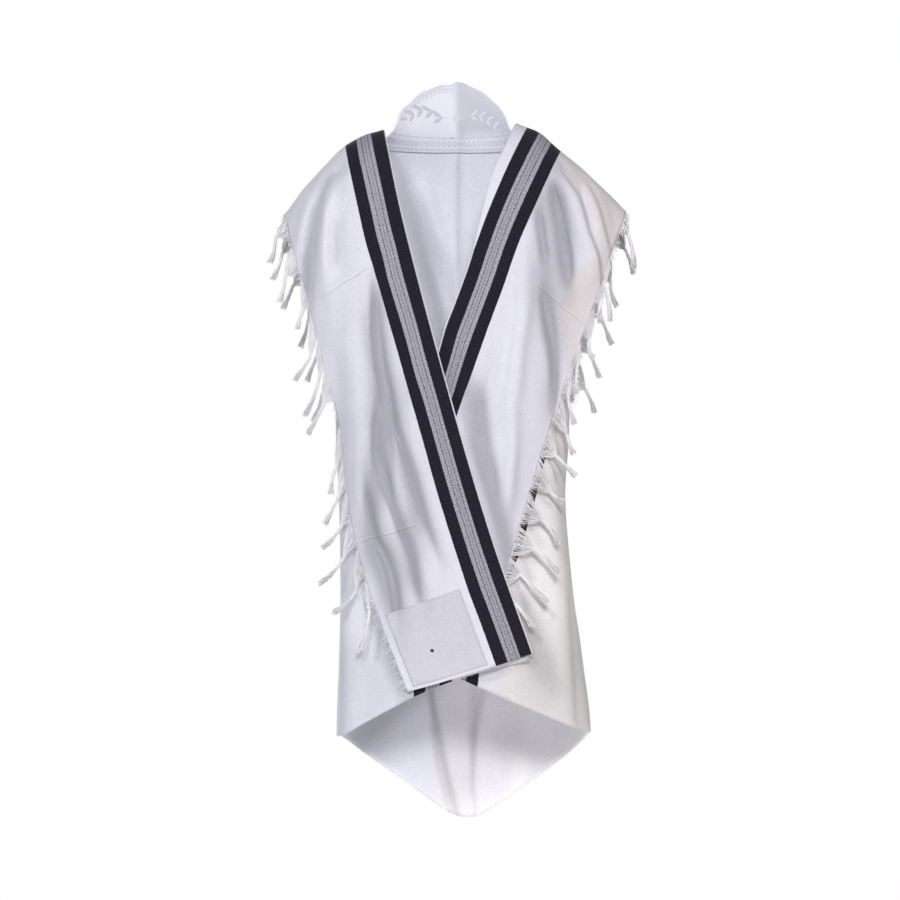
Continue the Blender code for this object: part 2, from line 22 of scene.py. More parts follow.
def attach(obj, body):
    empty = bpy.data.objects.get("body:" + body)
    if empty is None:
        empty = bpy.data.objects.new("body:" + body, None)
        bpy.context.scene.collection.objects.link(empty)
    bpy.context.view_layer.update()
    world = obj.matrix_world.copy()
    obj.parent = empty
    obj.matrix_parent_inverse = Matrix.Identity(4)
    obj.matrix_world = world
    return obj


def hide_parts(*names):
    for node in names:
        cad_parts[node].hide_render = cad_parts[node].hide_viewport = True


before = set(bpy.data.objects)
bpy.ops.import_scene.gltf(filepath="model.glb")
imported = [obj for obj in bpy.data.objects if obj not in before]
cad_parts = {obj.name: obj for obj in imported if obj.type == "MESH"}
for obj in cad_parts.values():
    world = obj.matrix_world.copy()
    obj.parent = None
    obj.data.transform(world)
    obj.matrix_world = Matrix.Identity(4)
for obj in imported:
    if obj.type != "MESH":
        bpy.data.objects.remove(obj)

Array = np.ndarray
Line = tuple[tuple[float, float], ...]      # line seen from the front: pairs of height and place across

LOG = logging.getLogger("prayer_shawl")
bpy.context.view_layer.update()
ROOT = "root"
CLOTH_UV = "cloth"          # UV map in metres: across from the stripes' first edge, and along them
PAINTED_WARM_LIGHT = "painted_warm_light"           # point attribute of painted warm light: 0 is cool white, 1 is creamy white
PAINTED_SHADING = "painted_shading"           # point attribute: share of painted shade, and on the neckband's figures of painted highlight
RUN, OUTWARD, GIRTH = "run", "outward", "girth"     # attributes of the lines that yarns follow


class Side(Enum):
    """Side of the wearer, with the sign of X there, as seen from the front."""

    LEFT = -1
    RIGHT = 1

    @property
    def label(self) -> str:
        """Word used in the names of pieces."""
        return self.name.lower()


class Face(Enum):
    """Front or back of the wearer, with the sign of Y there."""

    FRONT = -1
    BACK = 1

    @property
    def label(self) -> str:
        """Word used in the names of pieces."""
        return self.name.lower()


class Slot(Enum):
    """Names of the finish slots."""

    WOOL = "wool"
    SATIN = "satin"
    YARN = "yarn"


# ---- curves and blends ----


def ease(value: Array | float) -> Array:
    """Ease from 0 to 1 as value goes from 0 to 1.

    Args:
        value: Numbers of any size.

    Returns:
        The eased numbers, held between 0 and 1.
    """
    share = np.clip(value, 0.0, 1.0)
    return share * share * (3.0 - 2.0 * share)


def mix(start, end, share):
    """Blend two numbers or arrays by a share."""
    return start + (end - start) * share


def unit(vectors: Array) -> Array:
    """Scale vectors to length 1."""
    return vectors / np.maximum(np.linalg.norm(vectors, axis=-1, keepdims=True), 1e-12)


class Profile:
    """A smooth curve through a short table's rows."""

    def __init__(self, places: Iterable[float], values: Iterable[float]) -> None:
        """Sort the rows and work out the slope at each.

        Args:
            places: Where each row stands.
            values: What the curve is worth there.
        """
        rows = sorted(zip(places, values))
        self.x = np.array([row[0] for row in rows])
        self.y = np.array([row[1] for row in rows])
        ahead = np.minimum(np.arange(len(rows)) + 1, len(rows) - 1)
        behind = np.maximum(np.arange(len(rows)) - 1, 0)
        self.slope = (self.y[ahead] - self.y[behind]) / (self.x[ahead] - self.x[behind])

    def __call__(self, place: Array | float) -> Array:
        """Read the curve.

        Args:
            place: Places along the table, held within its ends.

        Returns:
            The values there.
        """
        place = np.clip(place, self.x[0], self.x[-1])
        low = np.clip(np.searchsorted(self.x, place, side="right") - 1, 0, len(self.x) - 2)
        span = self.x[low + 1] - self.x[low]
        t = (place - self.x[low]) / span
        return (
            self.y[low] * (1.0 + 2.0 * t) * (1.0 - t) ** 2
            + self.slope[low] * span * t * (1.0 - t) ** 2
            + self.y[low + 1] * t * t * (3.0 - 2.0 * t)
            + self.slope[low + 1] * span * t * t * (t - 1.0)
        )


def line_of(line: Line) -> Profile:
    """Curve that gives a line's place across at a height."""
    return Profile(*zip(*line))


# ---- the form that the cloth hangs on ----


@dataclass(frozen=True)
class Level:
    """Half-widths and depths of the form at one height."""

    height: float
    left: float
    right: float
    front: float
    back: float


@dataclass(frozen=True)
class Fold:
    """A soft fold along a line from its top to its foot, seen from the front.

    A positive height is a ridge and a negative one a dip. A lean towards 1 makes the side further from
    the middle steep, and towards -1 the side nearer to it. A low softness makes the line crisp.
    """

    path: Line
    width: float
    height: float
    lean: float = 0.0
    softness: float = 2.0
    fade: float = 0.45              # share of the length over which it dies out at each end

    def relief(self, x: Array, z: Array) -> Array:
        """Height of the fold at places seen from the front.

        Args:
            x: Places across.
            z: Heights.

        Returns:
            How far the fold lifts the cloth there.
        """
        line = line_of(self.path)
        (top, top_across), (foot, foot_across) = self.path[0], self.path[-1]
        along = (top - z) / (top - foot)
        step = 0.002
        slope = (line(z + step) - line(z - step)) / (2.0 * step)
        aside = (x - line(z)) / np.sqrt(1.0 + slope**2)
        aside = aside * (1.0 if top_across + foot_across > 0.0 else -1.0)
        width = self.width * np.where(aside > 0.0, 1.0 - self.lean, 1.0 + self.lean)
        start = ease(0.5 + along / self.fade)
        end = ease(0.5 + (1.0 - along) / self.fade)
        return self.height * start * end * np.exp(-(np.abs(aside / width) ** self.softness))


def shade(share: float, width: float, *path: tuple[float, float]) -> Fold:
    """A soft streak of painted shade through pairs of height and place across, as strong as a share."""
    return Fold(path, width, share, fade=0.7)


@dataclass(frozen=True)
class Crease:
    """A sharp line left by packing, with its two sides tilted away from it."""

    start_x: float
    start_z: float
    end_x: float
    end_z: float
    height: float = 0.0016
    reach: float = 0.012
    fade: float = 0.12              # share of the length over which it dies out at each end

    def relief(self, x: Array, z: Array) -> Array:
        """Height of the crease at places seen from the front.

        Args:
            x: Places across.
            z: Heights.

        Returns:
            How far the crease lifts the cloth there.
        """
        line_x, line_z = self.end_x - self.start_x, self.end_z - self.start_z
        length = math.hypot(line_x, line_z)
        along = ((x - self.start_x) * line_x + (z - self.start_z) * line_z) / length**2
        aside = np.abs((x - self.start_x) * -line_z + (z - self.start_z) * line_x) / length
        start = ease((along + self.fade) / (2.0 * self.fade))
        end = ease((1.0 + self.fade - along) / (2.0 * self.fade))
        return self.height * start * end * np.exp(-aside / self.reach)


PRESSED_LINES = (
    Crease(-0.240, -0.286, -0.147, -0.231, height=0.0036, reach=0.006),
    Crease(-0.147, -0.231, -0.072, -0.210, height=-0.0020, reach=0.004),
    Crease(-0.184, -0.711, -0.068, -0.674, height=0.0030, reach=0.006),
    Crease(0.130, -0.262, 0.220, -0.332, height=0.0040, reach=0.006),
)


def total_relief(marks: Sequence[Fold | Crease], x: Array, z: Array) -> Array:
    """Sum the relief of several folds and creases.

    Args:
        marks: The folds and creases.
        x: Places across.
        z: Heights.

    Returns:
        How far they lift the cloth.
    """
    total = np.zeros(np.broadcast(x, z).shape)
    for mark in marks:
        total = total + mark.relief(x, z)
    return total


@dataclass
class Form:
    """The form under the cloth, empty inside, and how the layers lie on it."""

    levels: tuple[Level, ...] = (
        Level(0.110, 0.112, 0.096, 0.020, 0.058),
        Level(0.060, 0.117, 0.098, 0.030, 0.076),
        Level(0.024, 0.120, 0.099, 0.040, 0.090),
        Level(0.004, 0.132, 0.112, 0.050, 0.098),
        Level(-0.014, 0.156, 0.138, 0.068, 0.104),
        Level(-0.040, 0.190, 0.172, 0.090, 0.113),
        Level(-0.075, 0.206, 0.188, 0.106, 0.122),
        Level(-0.130, 0.213, 0.194, 0.121, 0.131),
        Level(-0.200, 0.215, 0.197, 0.131, 0.138),
        Level(-0.350, 0.216, 0.198, 0.142, 0.142),
        Level(-0.530, 0.215, 0.195, 0.149, 0.142),
        Level(-0.640, 0.210, 0.189, 0.152, 0.141),
        Level(-0.810, 0.207, 0.204, 0.152, 0.141),
        Level(-0.900, 0.209, 0.217, 0.151, 0.140),
        Level(-1.050, 0.214, 0.234, 0.148, 0.138),
        Level(-1.230, 0.208, 0.228, 0.146, 0.135),
    )
    roundness: float = 2.25
    layer: float = 0.006
    fold_seam: float = 0.0008
    overlap_ramp: float = 0.050
    overlap_clear: float = 0.014
    fold_left: Line = (
        (0.016, -0.133), (-0.159, -0.096), (-0.440, -0.022),
        (-0.689, 0.051), (-0.897, 0.124),
    )
    fold_right: Line = (
        (0.027, 0.104), (-0.020, 0.085), (-0.070, 0.0625), (-0.145, 0.042),
        (-0.221, 0.0235), (-0.300, -0.0045), (-0.345, -0.0215), (-0.600, -0.088),
        (-0.866, -0.159),
    )

    def __post_init__(self) -> None:
        """Turn the tables into curves."""
        heights = [level.height for level in self.levels]
        self.columns = {
            name: Profile(heights, [getattr(level, name) for level in self.levels])
            for name in ("left", "right", "front", "back")
        }
        self.folds = {
            side: line_of(rows)
            for side, rows in ((Side.LEFT, self.fold_left), (Side.RIGHT, self.fold_right))
        }

    def half_width(self, x: Array, height: Array) -> Array:
        """Half-width of the form on the side that x lies on."""
        return np.where(x < 0.0, self.columns["left"](height), self.columns["right"](height))

    def bulge(self, share: Array) -> Array:
        """Depth of a level's outline, as a share, at a share of its half-width."""
        return np.maximum(0.0, 1.0 - np.abs(share) ** self.roundness) ** (1.0 / self.roundness)

    def reach(self, angle: Array) -> Array:
        """Radius of a level's outline, as a share, at an angle."""
        power = self.roundness
        return (np.abs(np.sin(angle)) ** power + np.abs(np.cos(angle)) ** power) ** (-1.0 / power)

    def depth(self, x: Array, height: Array, face: Face, outward: Array) -> Array:
        """Depth of a layer before or behind the shoulders, on the form grown outward.

        Args:
            x: Places across.
            height: Heights.
            face: Front or back.
            outward: How far the form is grown.

        Returns:
            Distances from the plane of the shoulders.
        """
        across = self.half_width(x, height) + outward
        return (self.columns[face.label](height) + outward) * self.bulge(x / across)

    def overlap(self, side: Side, x: Array, height: Array) -> Array:
        """Work out how far a side's front is lifted by the other side's layers under it.

        Args:
            side: Side of the front.
            x: Places across.
            height: Heights.

        Returns:
            Lifts, which are 0 on the right.
        """
        if side is Side.RIGHT:
            return np.zeros(np.broadcast(x, height).shape)
        start = self.folds[Side.RIGHT](height) - self.overlap_ramp - self.overlap_clear
        return 2.0 * self.layer * ease((x - start) / self.overlap_ramp)


# ---- meshes ----


def add_object(name: str, mesh: Mesh) -> Object:
    """Link a new object for a mesh.

    Args:
        name: Name of the object.
        mesh: Its mesh.

    Returns:
        The object, in the scene.
    """
    piece = bpy.data.objects.new(name, mesh)
    bpy.context.scene.collection.objects.link(piece)
    return piece


def cloth_piece(
    name: str,
    points: Array,
    chart: Array,
    wall: float,
    material: Material,
    painted_warm_light: Array | float = 0.0,
    painted_shading: Array | float = 0.0,
) -> Object:
    """Make a sheet of cloth from a grid of points.

    Args:
        name: Name of the piece.
        points: Grid of places, rows by columns by 3.
        chart: Grid of UV values in metres, rows by columns by 2.
        wall: Thickness of the cloth.
        material: Its finish.
        painted_warm_light: Share of painted warm light on the white, one value or one for each point.
        painted_shading: Share of painted shade, in the same way.

    Returns:
        The piece, with its wall as a Solidify modifier.
    """
    rows, columns = points.shape[:2]
    index = np.arange(rows * columns).reshape(rows, columns)
    quads = np.stack(
        [index[:-1, :-1], index[1:, :-1], index[1:, 1:], index[:-1, 1:]], axis=-1
    ).reshape(-1, 4)
    mesh = bpy.data.meshes.new(name)
    mesh.from_pydata(points.reshape(-1, 3).tolist(), [], quads.tolist())
    layer = mesh.uv_layers.new(name=CLOTH_UV)
    layer.data.foreach_set("uv", chart.reshape(-1, 2)[quads.reshape(-1)].astype(np.float32).ravel())
    for key, given in ((PAINTED_WARM_LIGHT, painted_warm_light), (PAINTED_SHADING, painted_shading)):
        tint = mesh.attributes.new(name=key, type="FLOAT", domain="POINT")
        values = np.broadcast_to(np.asarray(given, dtype=np.float32), (rows, columns))
        tint.data.foreach_set("value", np.ascontiguousarray(values).ravel())
    mesh.materials.append(material)
    mesh.shade_smooth()
    piece = add_object(name, mesh)
    thickness = piece.modifiers.new("wall", "SOLIDIFY")
    thickness.thickness = wall
    thickness.offset = 0.0
    thickness.use_even_offset = True
    return piece


def chart_of(points: Array, column: int = 0) -> Array:
    """Measure a grid of points: across from one column, and along the grid's rows.

    The distance across is taken square to the columns, so that it stays true where the rows slant.

    Args:
        points: Grid of places, rows by columns by 3.
        column: The column that the distance across starts at.

    Returns:
        Grid of pairs in metres, rows by columns by 2.
    """
    down = unit(np.gradient(points, axis=0))
    steps = np.diff(points, axis=1)
    square = np.linalg.norm(np.cross(steps, (down[:, 1:] + down[:, :-1]) / 2.0), axis=-1)
    across = np.concatenate([np.zeros((len(points), 1)), np.cumsum(square, axis=1)], axis=1)
    across -= across[:, column : column + 1]
    lengths = np.linalg.norm(np.diff(points, axis=0), axis=-1)
    along = np.concatenate([np.zeros((1, points.shape[1])), np.cumsum(lengths, axis=0)], axis=0)
    return np.stack([across, along], axis=-1)


def normals_of(points: Array) -> Array:
    """Unit normals of a grid of points."""
    return unit(np.cross(np.gradient(points, axis=1), np.gradient(points, axis=0)))


def roughen(points: Array, normals: Array, size: float, height: float) -> Array:
    """Lift a grid unevenly, as hanging cloth is never quite even.

    Args:
        points: Grid of places.
        normals: Its normals.
        size: Width of the swells. They are three times as long as wide.
        height: The most that they lift.

    Returns:
        The grid, moved.
    """
    flat = points.reshape(-1, 3)
    lift = np.array([noise.noise(Vector((p[0] / size, p[1] / size, p[2] / size / 3.0))) for p in flat])
    return points + normals * (lift * height).reshape(points.shape[:2] + (1,))


def line_mesh(name: str, lines: Sequence[dict[str, Array]]) -> Mesh:
    """Make a mesh of loose lines that yarns follow.

    Args:
        name: Name of the mesh.
        lines: For each line its points, and for each point its values of the attributes by name.

    Returns:
        The mesh, with one chain of edges for each line.
    """
    points, edges, start = [], [], 0
    for line in lines:
        count = len(line["points"])
        points.extend(line["points"].tolist())
        edges.extend((start + i, start + i + 1) for i in range(count - 1))
        start += count
    mesh = bpy.data.meshes.new(name)
    mesh.from_pydata(points, edges, [])
    for key in (RUN, GIRTH):
        values = [np.broadcast_to(line.get(key, 1.0), (len(line["points"]),)) for line in lines]
        data = mesh.attributes.new(name=key, type="FLOAT", domain="POINT")
        data.data.foreach_set("value", np.concatenate(values).astype(np.float32))
    if all(OUTWARD in line for line in lines):
        data = mesh.attributes.new(name=OUTWARD, type="FLOAT_VECTOR", domain="POINT")
        values = np.concatenate([line[OUTWARD] for line in lines])
        data.data.foreach_set("vector", values.astype(np.float32).ravel())
    return mesh


def run_of(points: Array) -> Array:
    """Distance along a line at each of its points."""
    return np.concatenate([[0.0], np.cumsum(np.linalg.norm(np.diff(points, axis=0), axis=-1))])


def joined(name: str, pieces: Sequence[Object]) -> Object:
    """Join several plain mesh objects into one.

    Args:
        name: Name of the new object.
        pieces: The objects, which are removed.

    Returns:
        One object with all their faces and finishes.
    """
    maker = bmesh.new()
    finishes: list[Material] = []
    for piece in pieces:
        before = len(maker.faces)
        maker.from_mesh(piece.data)
        maker.faces.ensure_lookup_table()
        slots = list(piece.data.materials)
        for face in maker.faces[before:]:
            finish = slots[face.material_index]
            if finish not in finishes:
                finishes.append(finish)
            face.material_index = finishes.index(finish)
    mesh = bpy.data.meshes.new(name)
    maker.to_mesh(mesh)
    maker.free()
    for finish in finishes:
        mesh.materials.append(finish)
    for piece in pieces:
        bpy.data.objects.remove(piece, do_unlink=True)
    return add_object(name, mesh)


# ---- node trees ----


class NodeSheet:
    """A node tree with short calls for adding nodes and wiring them."""

    def __init__(self, tree: NodeTree) -> None:
        """Start on a tree."""
        self.tree = tree

    def add(self, kind: str, inputs: dict | None = None, **settings) -> Node:
        """Add a node.

        Args:
            kind: Blender's type of node.
            inputs: Value or output socket for inputs, by name or place.
            settings: Properties of the node.

        Returns:
            The node.
        """
        node = self.tree.nodes.new(kind)
        for key, value in settings.items():
            setattr(node, key, value)
        for key, value in (inputs or {}).items():
            self.set(node.inputs[key], value)
        return node

    def set(self, socket: NodeSocket, value) -> None:
        """Give a socket a value, or a wire from an output."""
        if isinstance(value, NodeSocket):
            self.tree.links.new(value, socket)
        elif value is not None:
            socket.default_value = value

    def math(self, operation: str, *values, clamp: bool = False) -> NodeSocket:
        """Add a Math node and return its output.

        Args:
            operation: Blender's word for it.
            values: Numbers or sockets.
            clamp: Whether the result is held to 0 and 1.

        Returns:
            The output.
        """
        node = self.add("ShaderNodeMath", operation=operation, use_clamp=clamp)
        for socket, value in zip(node.inputs, values):
            self.set(socket, value)
        return node.outputs[0]

    def vector(self, operation: str, *values) -> NodeSocket:
        """Add a Vector Math node and return its output, a vector or a number.

        Args:
            operation: Blender's word for it.
            values: Vectors or sockets.

        Returns:
            The output, a number for a length or a dot product.
        """
        node = self.add("ShaderNodeVectorMath", operation=operation)
        for socket, value in zip(node.inputs, values):
            self.set(socket, value)
        return node.outputs[1 if operation in ("LENGTH", "DOT_PRODUCT") else 0]

    def scaled(self, vector, amount) -> NodeSocket:
        """Scale a vector by a number.

        Args:
            vector: A vector or its socket.
            amount: A number or its socket.

        Returns:
            The scaled vector.
        """
        node = self.add("ShaderNodeVectorMath", operation="SCALE")
        self.set(node.inputs[0], vector)
        self.set(node.inputs["Scale"], amount)
        return node.outputs[0]

    def axis(self, vector, index: int) -> NodeSocket:
        """Read one part of a vector."""
        return self.add("ShaderNodeSeparateXYZ", {0: vector}).outputs[index]

    def ramp(self, value, low, high, start=0.0, end=1.0) -> NodeSocket:
        """Map a range smoothly onto another and return the output."""
        inputs = {0: value, 1: low, 2: high, 3: start, 4: end}
        return self.add("ShaderNodeMapRange", inputs, interpolation_type="SMOOTHSTEP").outputs[0]

    def blend(self, share, first, second) -> NodeSocket:
        """Mix two colours.

        Args:
            share: Share of the second.
            first: Colour at 0.
            second: Colour at 1.

        Returns:
            The mixed colour.
        """
        node = self.add("ShaderNodeMix", data_type="RGBA")
        self.set(node.inputs[0], share)
        self.set(node.inputs[6], first)
        self.set(node.inputs[7], second)
        return node.outputs[2]

    def noise(self, vector, scale: float, detail: float = 2.0) -> NodeSocket:
        """Add a Noise texture and return its value."""
        inputs = {"Vector": vector, "Scale": scale, "Detail": detail}
        return self.add("ShaderNodeTexNoise", inputs).outputs[0]

    def group(self, tree: NodeTree, inputs: dict):
        """Place a shader group.

        Args:
            tree: The group.
            inputs: Its own values or sockets, by name.

        Returns:
            Its output sockets.
        """
        return self.add("ShaderNodeGroup", inputs, node_tree=tree).outputs

    def tint(self, name: str) -> NodeSocket:
        """Read a point attribute of the piece."""
        return self.add("ShaderNodeAttribute", attribute_name=name).outputs["Fac"]

    def fill(self, node: Node, inputs: dict) -> None:
        """Set or wire several inputs of a node.

        Args:
            node: The node.
            inputs: A value or an output socket for each input, by name.
        """
        for key, value in inputs.items():
            self.set(node.inputs[key], value)

    def relief(self, height, strength: float, distance: float) -> NodeSocket:
        """Add a Bump node.

        Args:
            height: Socket with the height.
            strength: How strong it is.
            distance: Height in metres that 1 stands for.

        Returns:
            The normal.
        """
        inputs = {"Height": height, "Strength": strength, "Distance": distance}
        return self.add("ShaderNodeBump", inputs).outputs[0]


def add_inputs(tree: NodeTree, inputs: dict[str, float | str]) -> None:
    """Add named input sockets to a tree.

    Args:
        tree: The node tree.
        inputs: For each input its default, or its kind of socket where it has no default.
    """
    for label, given in inputs.items():
        if isinstance(given, str):
            tree.interface.new_socket(label, in_out="INPUT", socket_type=given)
        else:
            kind = "NodeSocketInt" if isinstance(given, int) else "NodeSocketFloat"
            tree.interface.new_socket(label, in_out="INPUT", socket_type=kind).default_value = given


def shader_group(name: str, inputs: dict[str, float | str], outputs: dict[str, str]):
    """Start a shader node group with named sockets.

    Args:
        name: Name of the group.
        inputs: For each input its default, or its kind of socket.
        outputs: For each output its kind of socket.

    Returns:
        The sheet, the sockets of its inputs and those of its outputs.
    """
    tree = bpy.data.node_groups.new(name, "ShaderNodeTree")
    add_inputs(tree, inputs)
    for label, kind in outputs.items():
        tree.interface.new_socket(label, in_out="OUTPUT", socket_type=kind)
    sheet = NodeSheet(tree)
    return sheet, sheet.add("NodeGroupInput").outputs, sheet.add("NodeGroupOutput").inputs


class SharedEffects:
    """Shader node groups that more than one finish uses, each built once."""

    def __init__(self) -> None:
        """Build the groups."""
        self.weave = self._weave()
        self.flecks = self._flecks()
        self.pressed_line_shading = self._pressed_line()

    @staticmethod
    def _weave() -> NodeTree:
        """Plain weave: threads over and under each other, with slubs.

        Returns:
            A group that puts out the height of the threads, and a soft unevenness of their shade.
        """
        sheet, given, result = shader_group(
            "plain_weave",
            {
                "Chart": "NodeSocketVector",
                "Pitch": 0.0011,
                "Slub": 0.35,
            },
            {"Height": "NodeSocketFloat", "Shade": "NodeSocketFloat"},
        )
        split = sheet.add("ShaderNodeSeparateXYZ", {0: given["Chart"]})
        turn = sheet.math("DIVIDE", 2.0 * math.pi, given["Pitch"])
        warp = sheet.math("SINE", sheet.math("MULTIPLY", split.outputs[0], turn))
        weft = sheet.math("SINE", sheet.math("MULTIPLY", split.outputs[1], turn))
        checks = sheet.math("MULTIPLY_ADD", sheet.math("MULTIPLY", warp, weft), 0.35, 0.5)
        along = sheet.vector("MULTIPLY", given["Chart"], (420.0, 22.0, 1.0))
        across = sheet.vector("MULTIPLY", given["Chart"], (22.0, 420.0, 1.0))
        warp_slub = sheet.noise(along, 1.0, 1.0)
        weft_slub = sheet.noise(across, 1.0, 1.0)
        slub = sheet.math("SUBTRACT", sheet.math("ADD", warp_slub, weft_slub), 1.0)
        uneven = sheet.math("MULTIPLY", slub, given["Slub"])
        sheet.set(result["Height"], sheet.math("ADD", checks, uneven))
        sheet.set(result["Shade"], sheet.math("MULTIPLY_ADD", slub, 0.5, 0.5))
        return sheet.tree

    @staticmethod
    def _pressed_line() -> NodeTree:
        """Thin masks on the two sides of a straight line across the front of the cloth, for its painted
        highlight and painted shade.

        Returns:
            A group that puts out the masks of the upper and the lower side.
        """
        sheet, given, result = shader_group(
            "pressed_line_shading",
            {
                "Place": "NodeSocketVector", "Start": "NodeSocketVector",
                "End": "NodeSocketVector", "Half Width": 0.001,
            },
            {"Upper": "NodeSocketFloat", "Lower": "NodeSocketFloat"},
        )
        stray = sheet.noise(given["Place"], 38.0, 1.0)
        stray = sheet.math("MULTIPLY", sheet.math("SUBTRACT", stray, 0.5), 0.007)
        lifted = sheet.add("ShaderNodeCombineXYZ", {2: stray}).outputs[0]
        flat = sheet.vector("ADD", given["Place"], lifted)
        flat = sheet.vector("MULTIPLY", flat, (1.0, 0.0, 1.0))
        way = sheet.vector("SUBTRACT", given["End"], given["Start"])
        there = sheet.vector("SUBTRACT", flat, given["Start"])
        length = sheet.vector("LENGTH", way)
        along = sheet.math("DIVIDE", sheet.vector("DOT_PRODUCT", there, way),
                           sheet.math("MULTIPLY", length, length))
        cross = sheet.vector("CROSS_PRODUCT", way, there)
        aside = sheet.math("DIVIDE", sheet.axis(cross, 1), length)
        aside = sheet.math("DIVIDE", aside, given["Half Width"])
        starts, stops = sheet.ramp(along, -0.04, 0.22), sheet.ramp(along, 0.84, 1.04, 1.0, 0.0)
        ends = sheet.math("MULTIPLY", starts, stops)
        depth = sheet.axis(given["Place"], 1)
        ends = sheet.math("MULTIPLY", ends, sheet.ramp(depth, -0.04, -0.02, 1.0, 0.0))
        for name, sign in (("Upper", -1.0), ("Lower", 1.0)):
            distance = sheet.math("ABSOLUTE", sheet.math("ADD", sheet.math("MULTIPLY", aside, sign), -0.9))
            mask = sheet.math("MULTIPLY", sheet.ramp(distance, 0.0, 1.3, 1.0, 0.0), ends)
            sheet.set(result[name], mask)
        return sheet.tree

    @staticmethod
    def _flecks() -> NodeTree:
        """Flecks of two yarns spun together.

        Returns:
            A group that puts out a mask of short flecks along the thread.
        """
        sheet, given, result = shader_group(
            "yarn_flecks",
            {
                "Chart": "NodeSocketVector",
                "Fleck Width": 0.0011,
                "Fleck Length": 0.0024,
                "Sharpness": 0.10,
            },
            {"Mask": "NodeSocketFloat"},
        )
        rate = sheet.add("ShaderNodeCombineXYZ")
        sheet.set(rate.inputs[0], sheet.math("DIVIDE", 1.0, given["Fleck Width"]))
        sheet.set(rate.inputs[1], sheet.math("DIVIDE", 1.0, given["Fleck Length"]))
        spot = sheet.noise(sheet.vector("MULTIPLY", given["Chart"], rate.outputs[0]), 1.0, 1.0)
        low = sheet.math("SUBTRACT", 0.5, given["Sharpness"])
        high = sheet.math("ADD", 0.5, given["Sharpness"])
        sheet.set(result["Mask"], sheet.ramp(spot, low, high))
        return sheet.tree


def new_material(name: str) -> tuple[Material, NodeSheet, Node]:
    """Start a material.

    Args:
        name: Name of the material.

    Returns:
        The material, its node sheet and its Principled shader.
    """
    material = bpy.data.materials.new(name)
    material.use_nodes = True
    sheet = NodeSheet(material.node_tree)
    return material, sheet, material.node_tree.nodes["Principled BSDF"]


Colour = tuple[float, float, float, float]


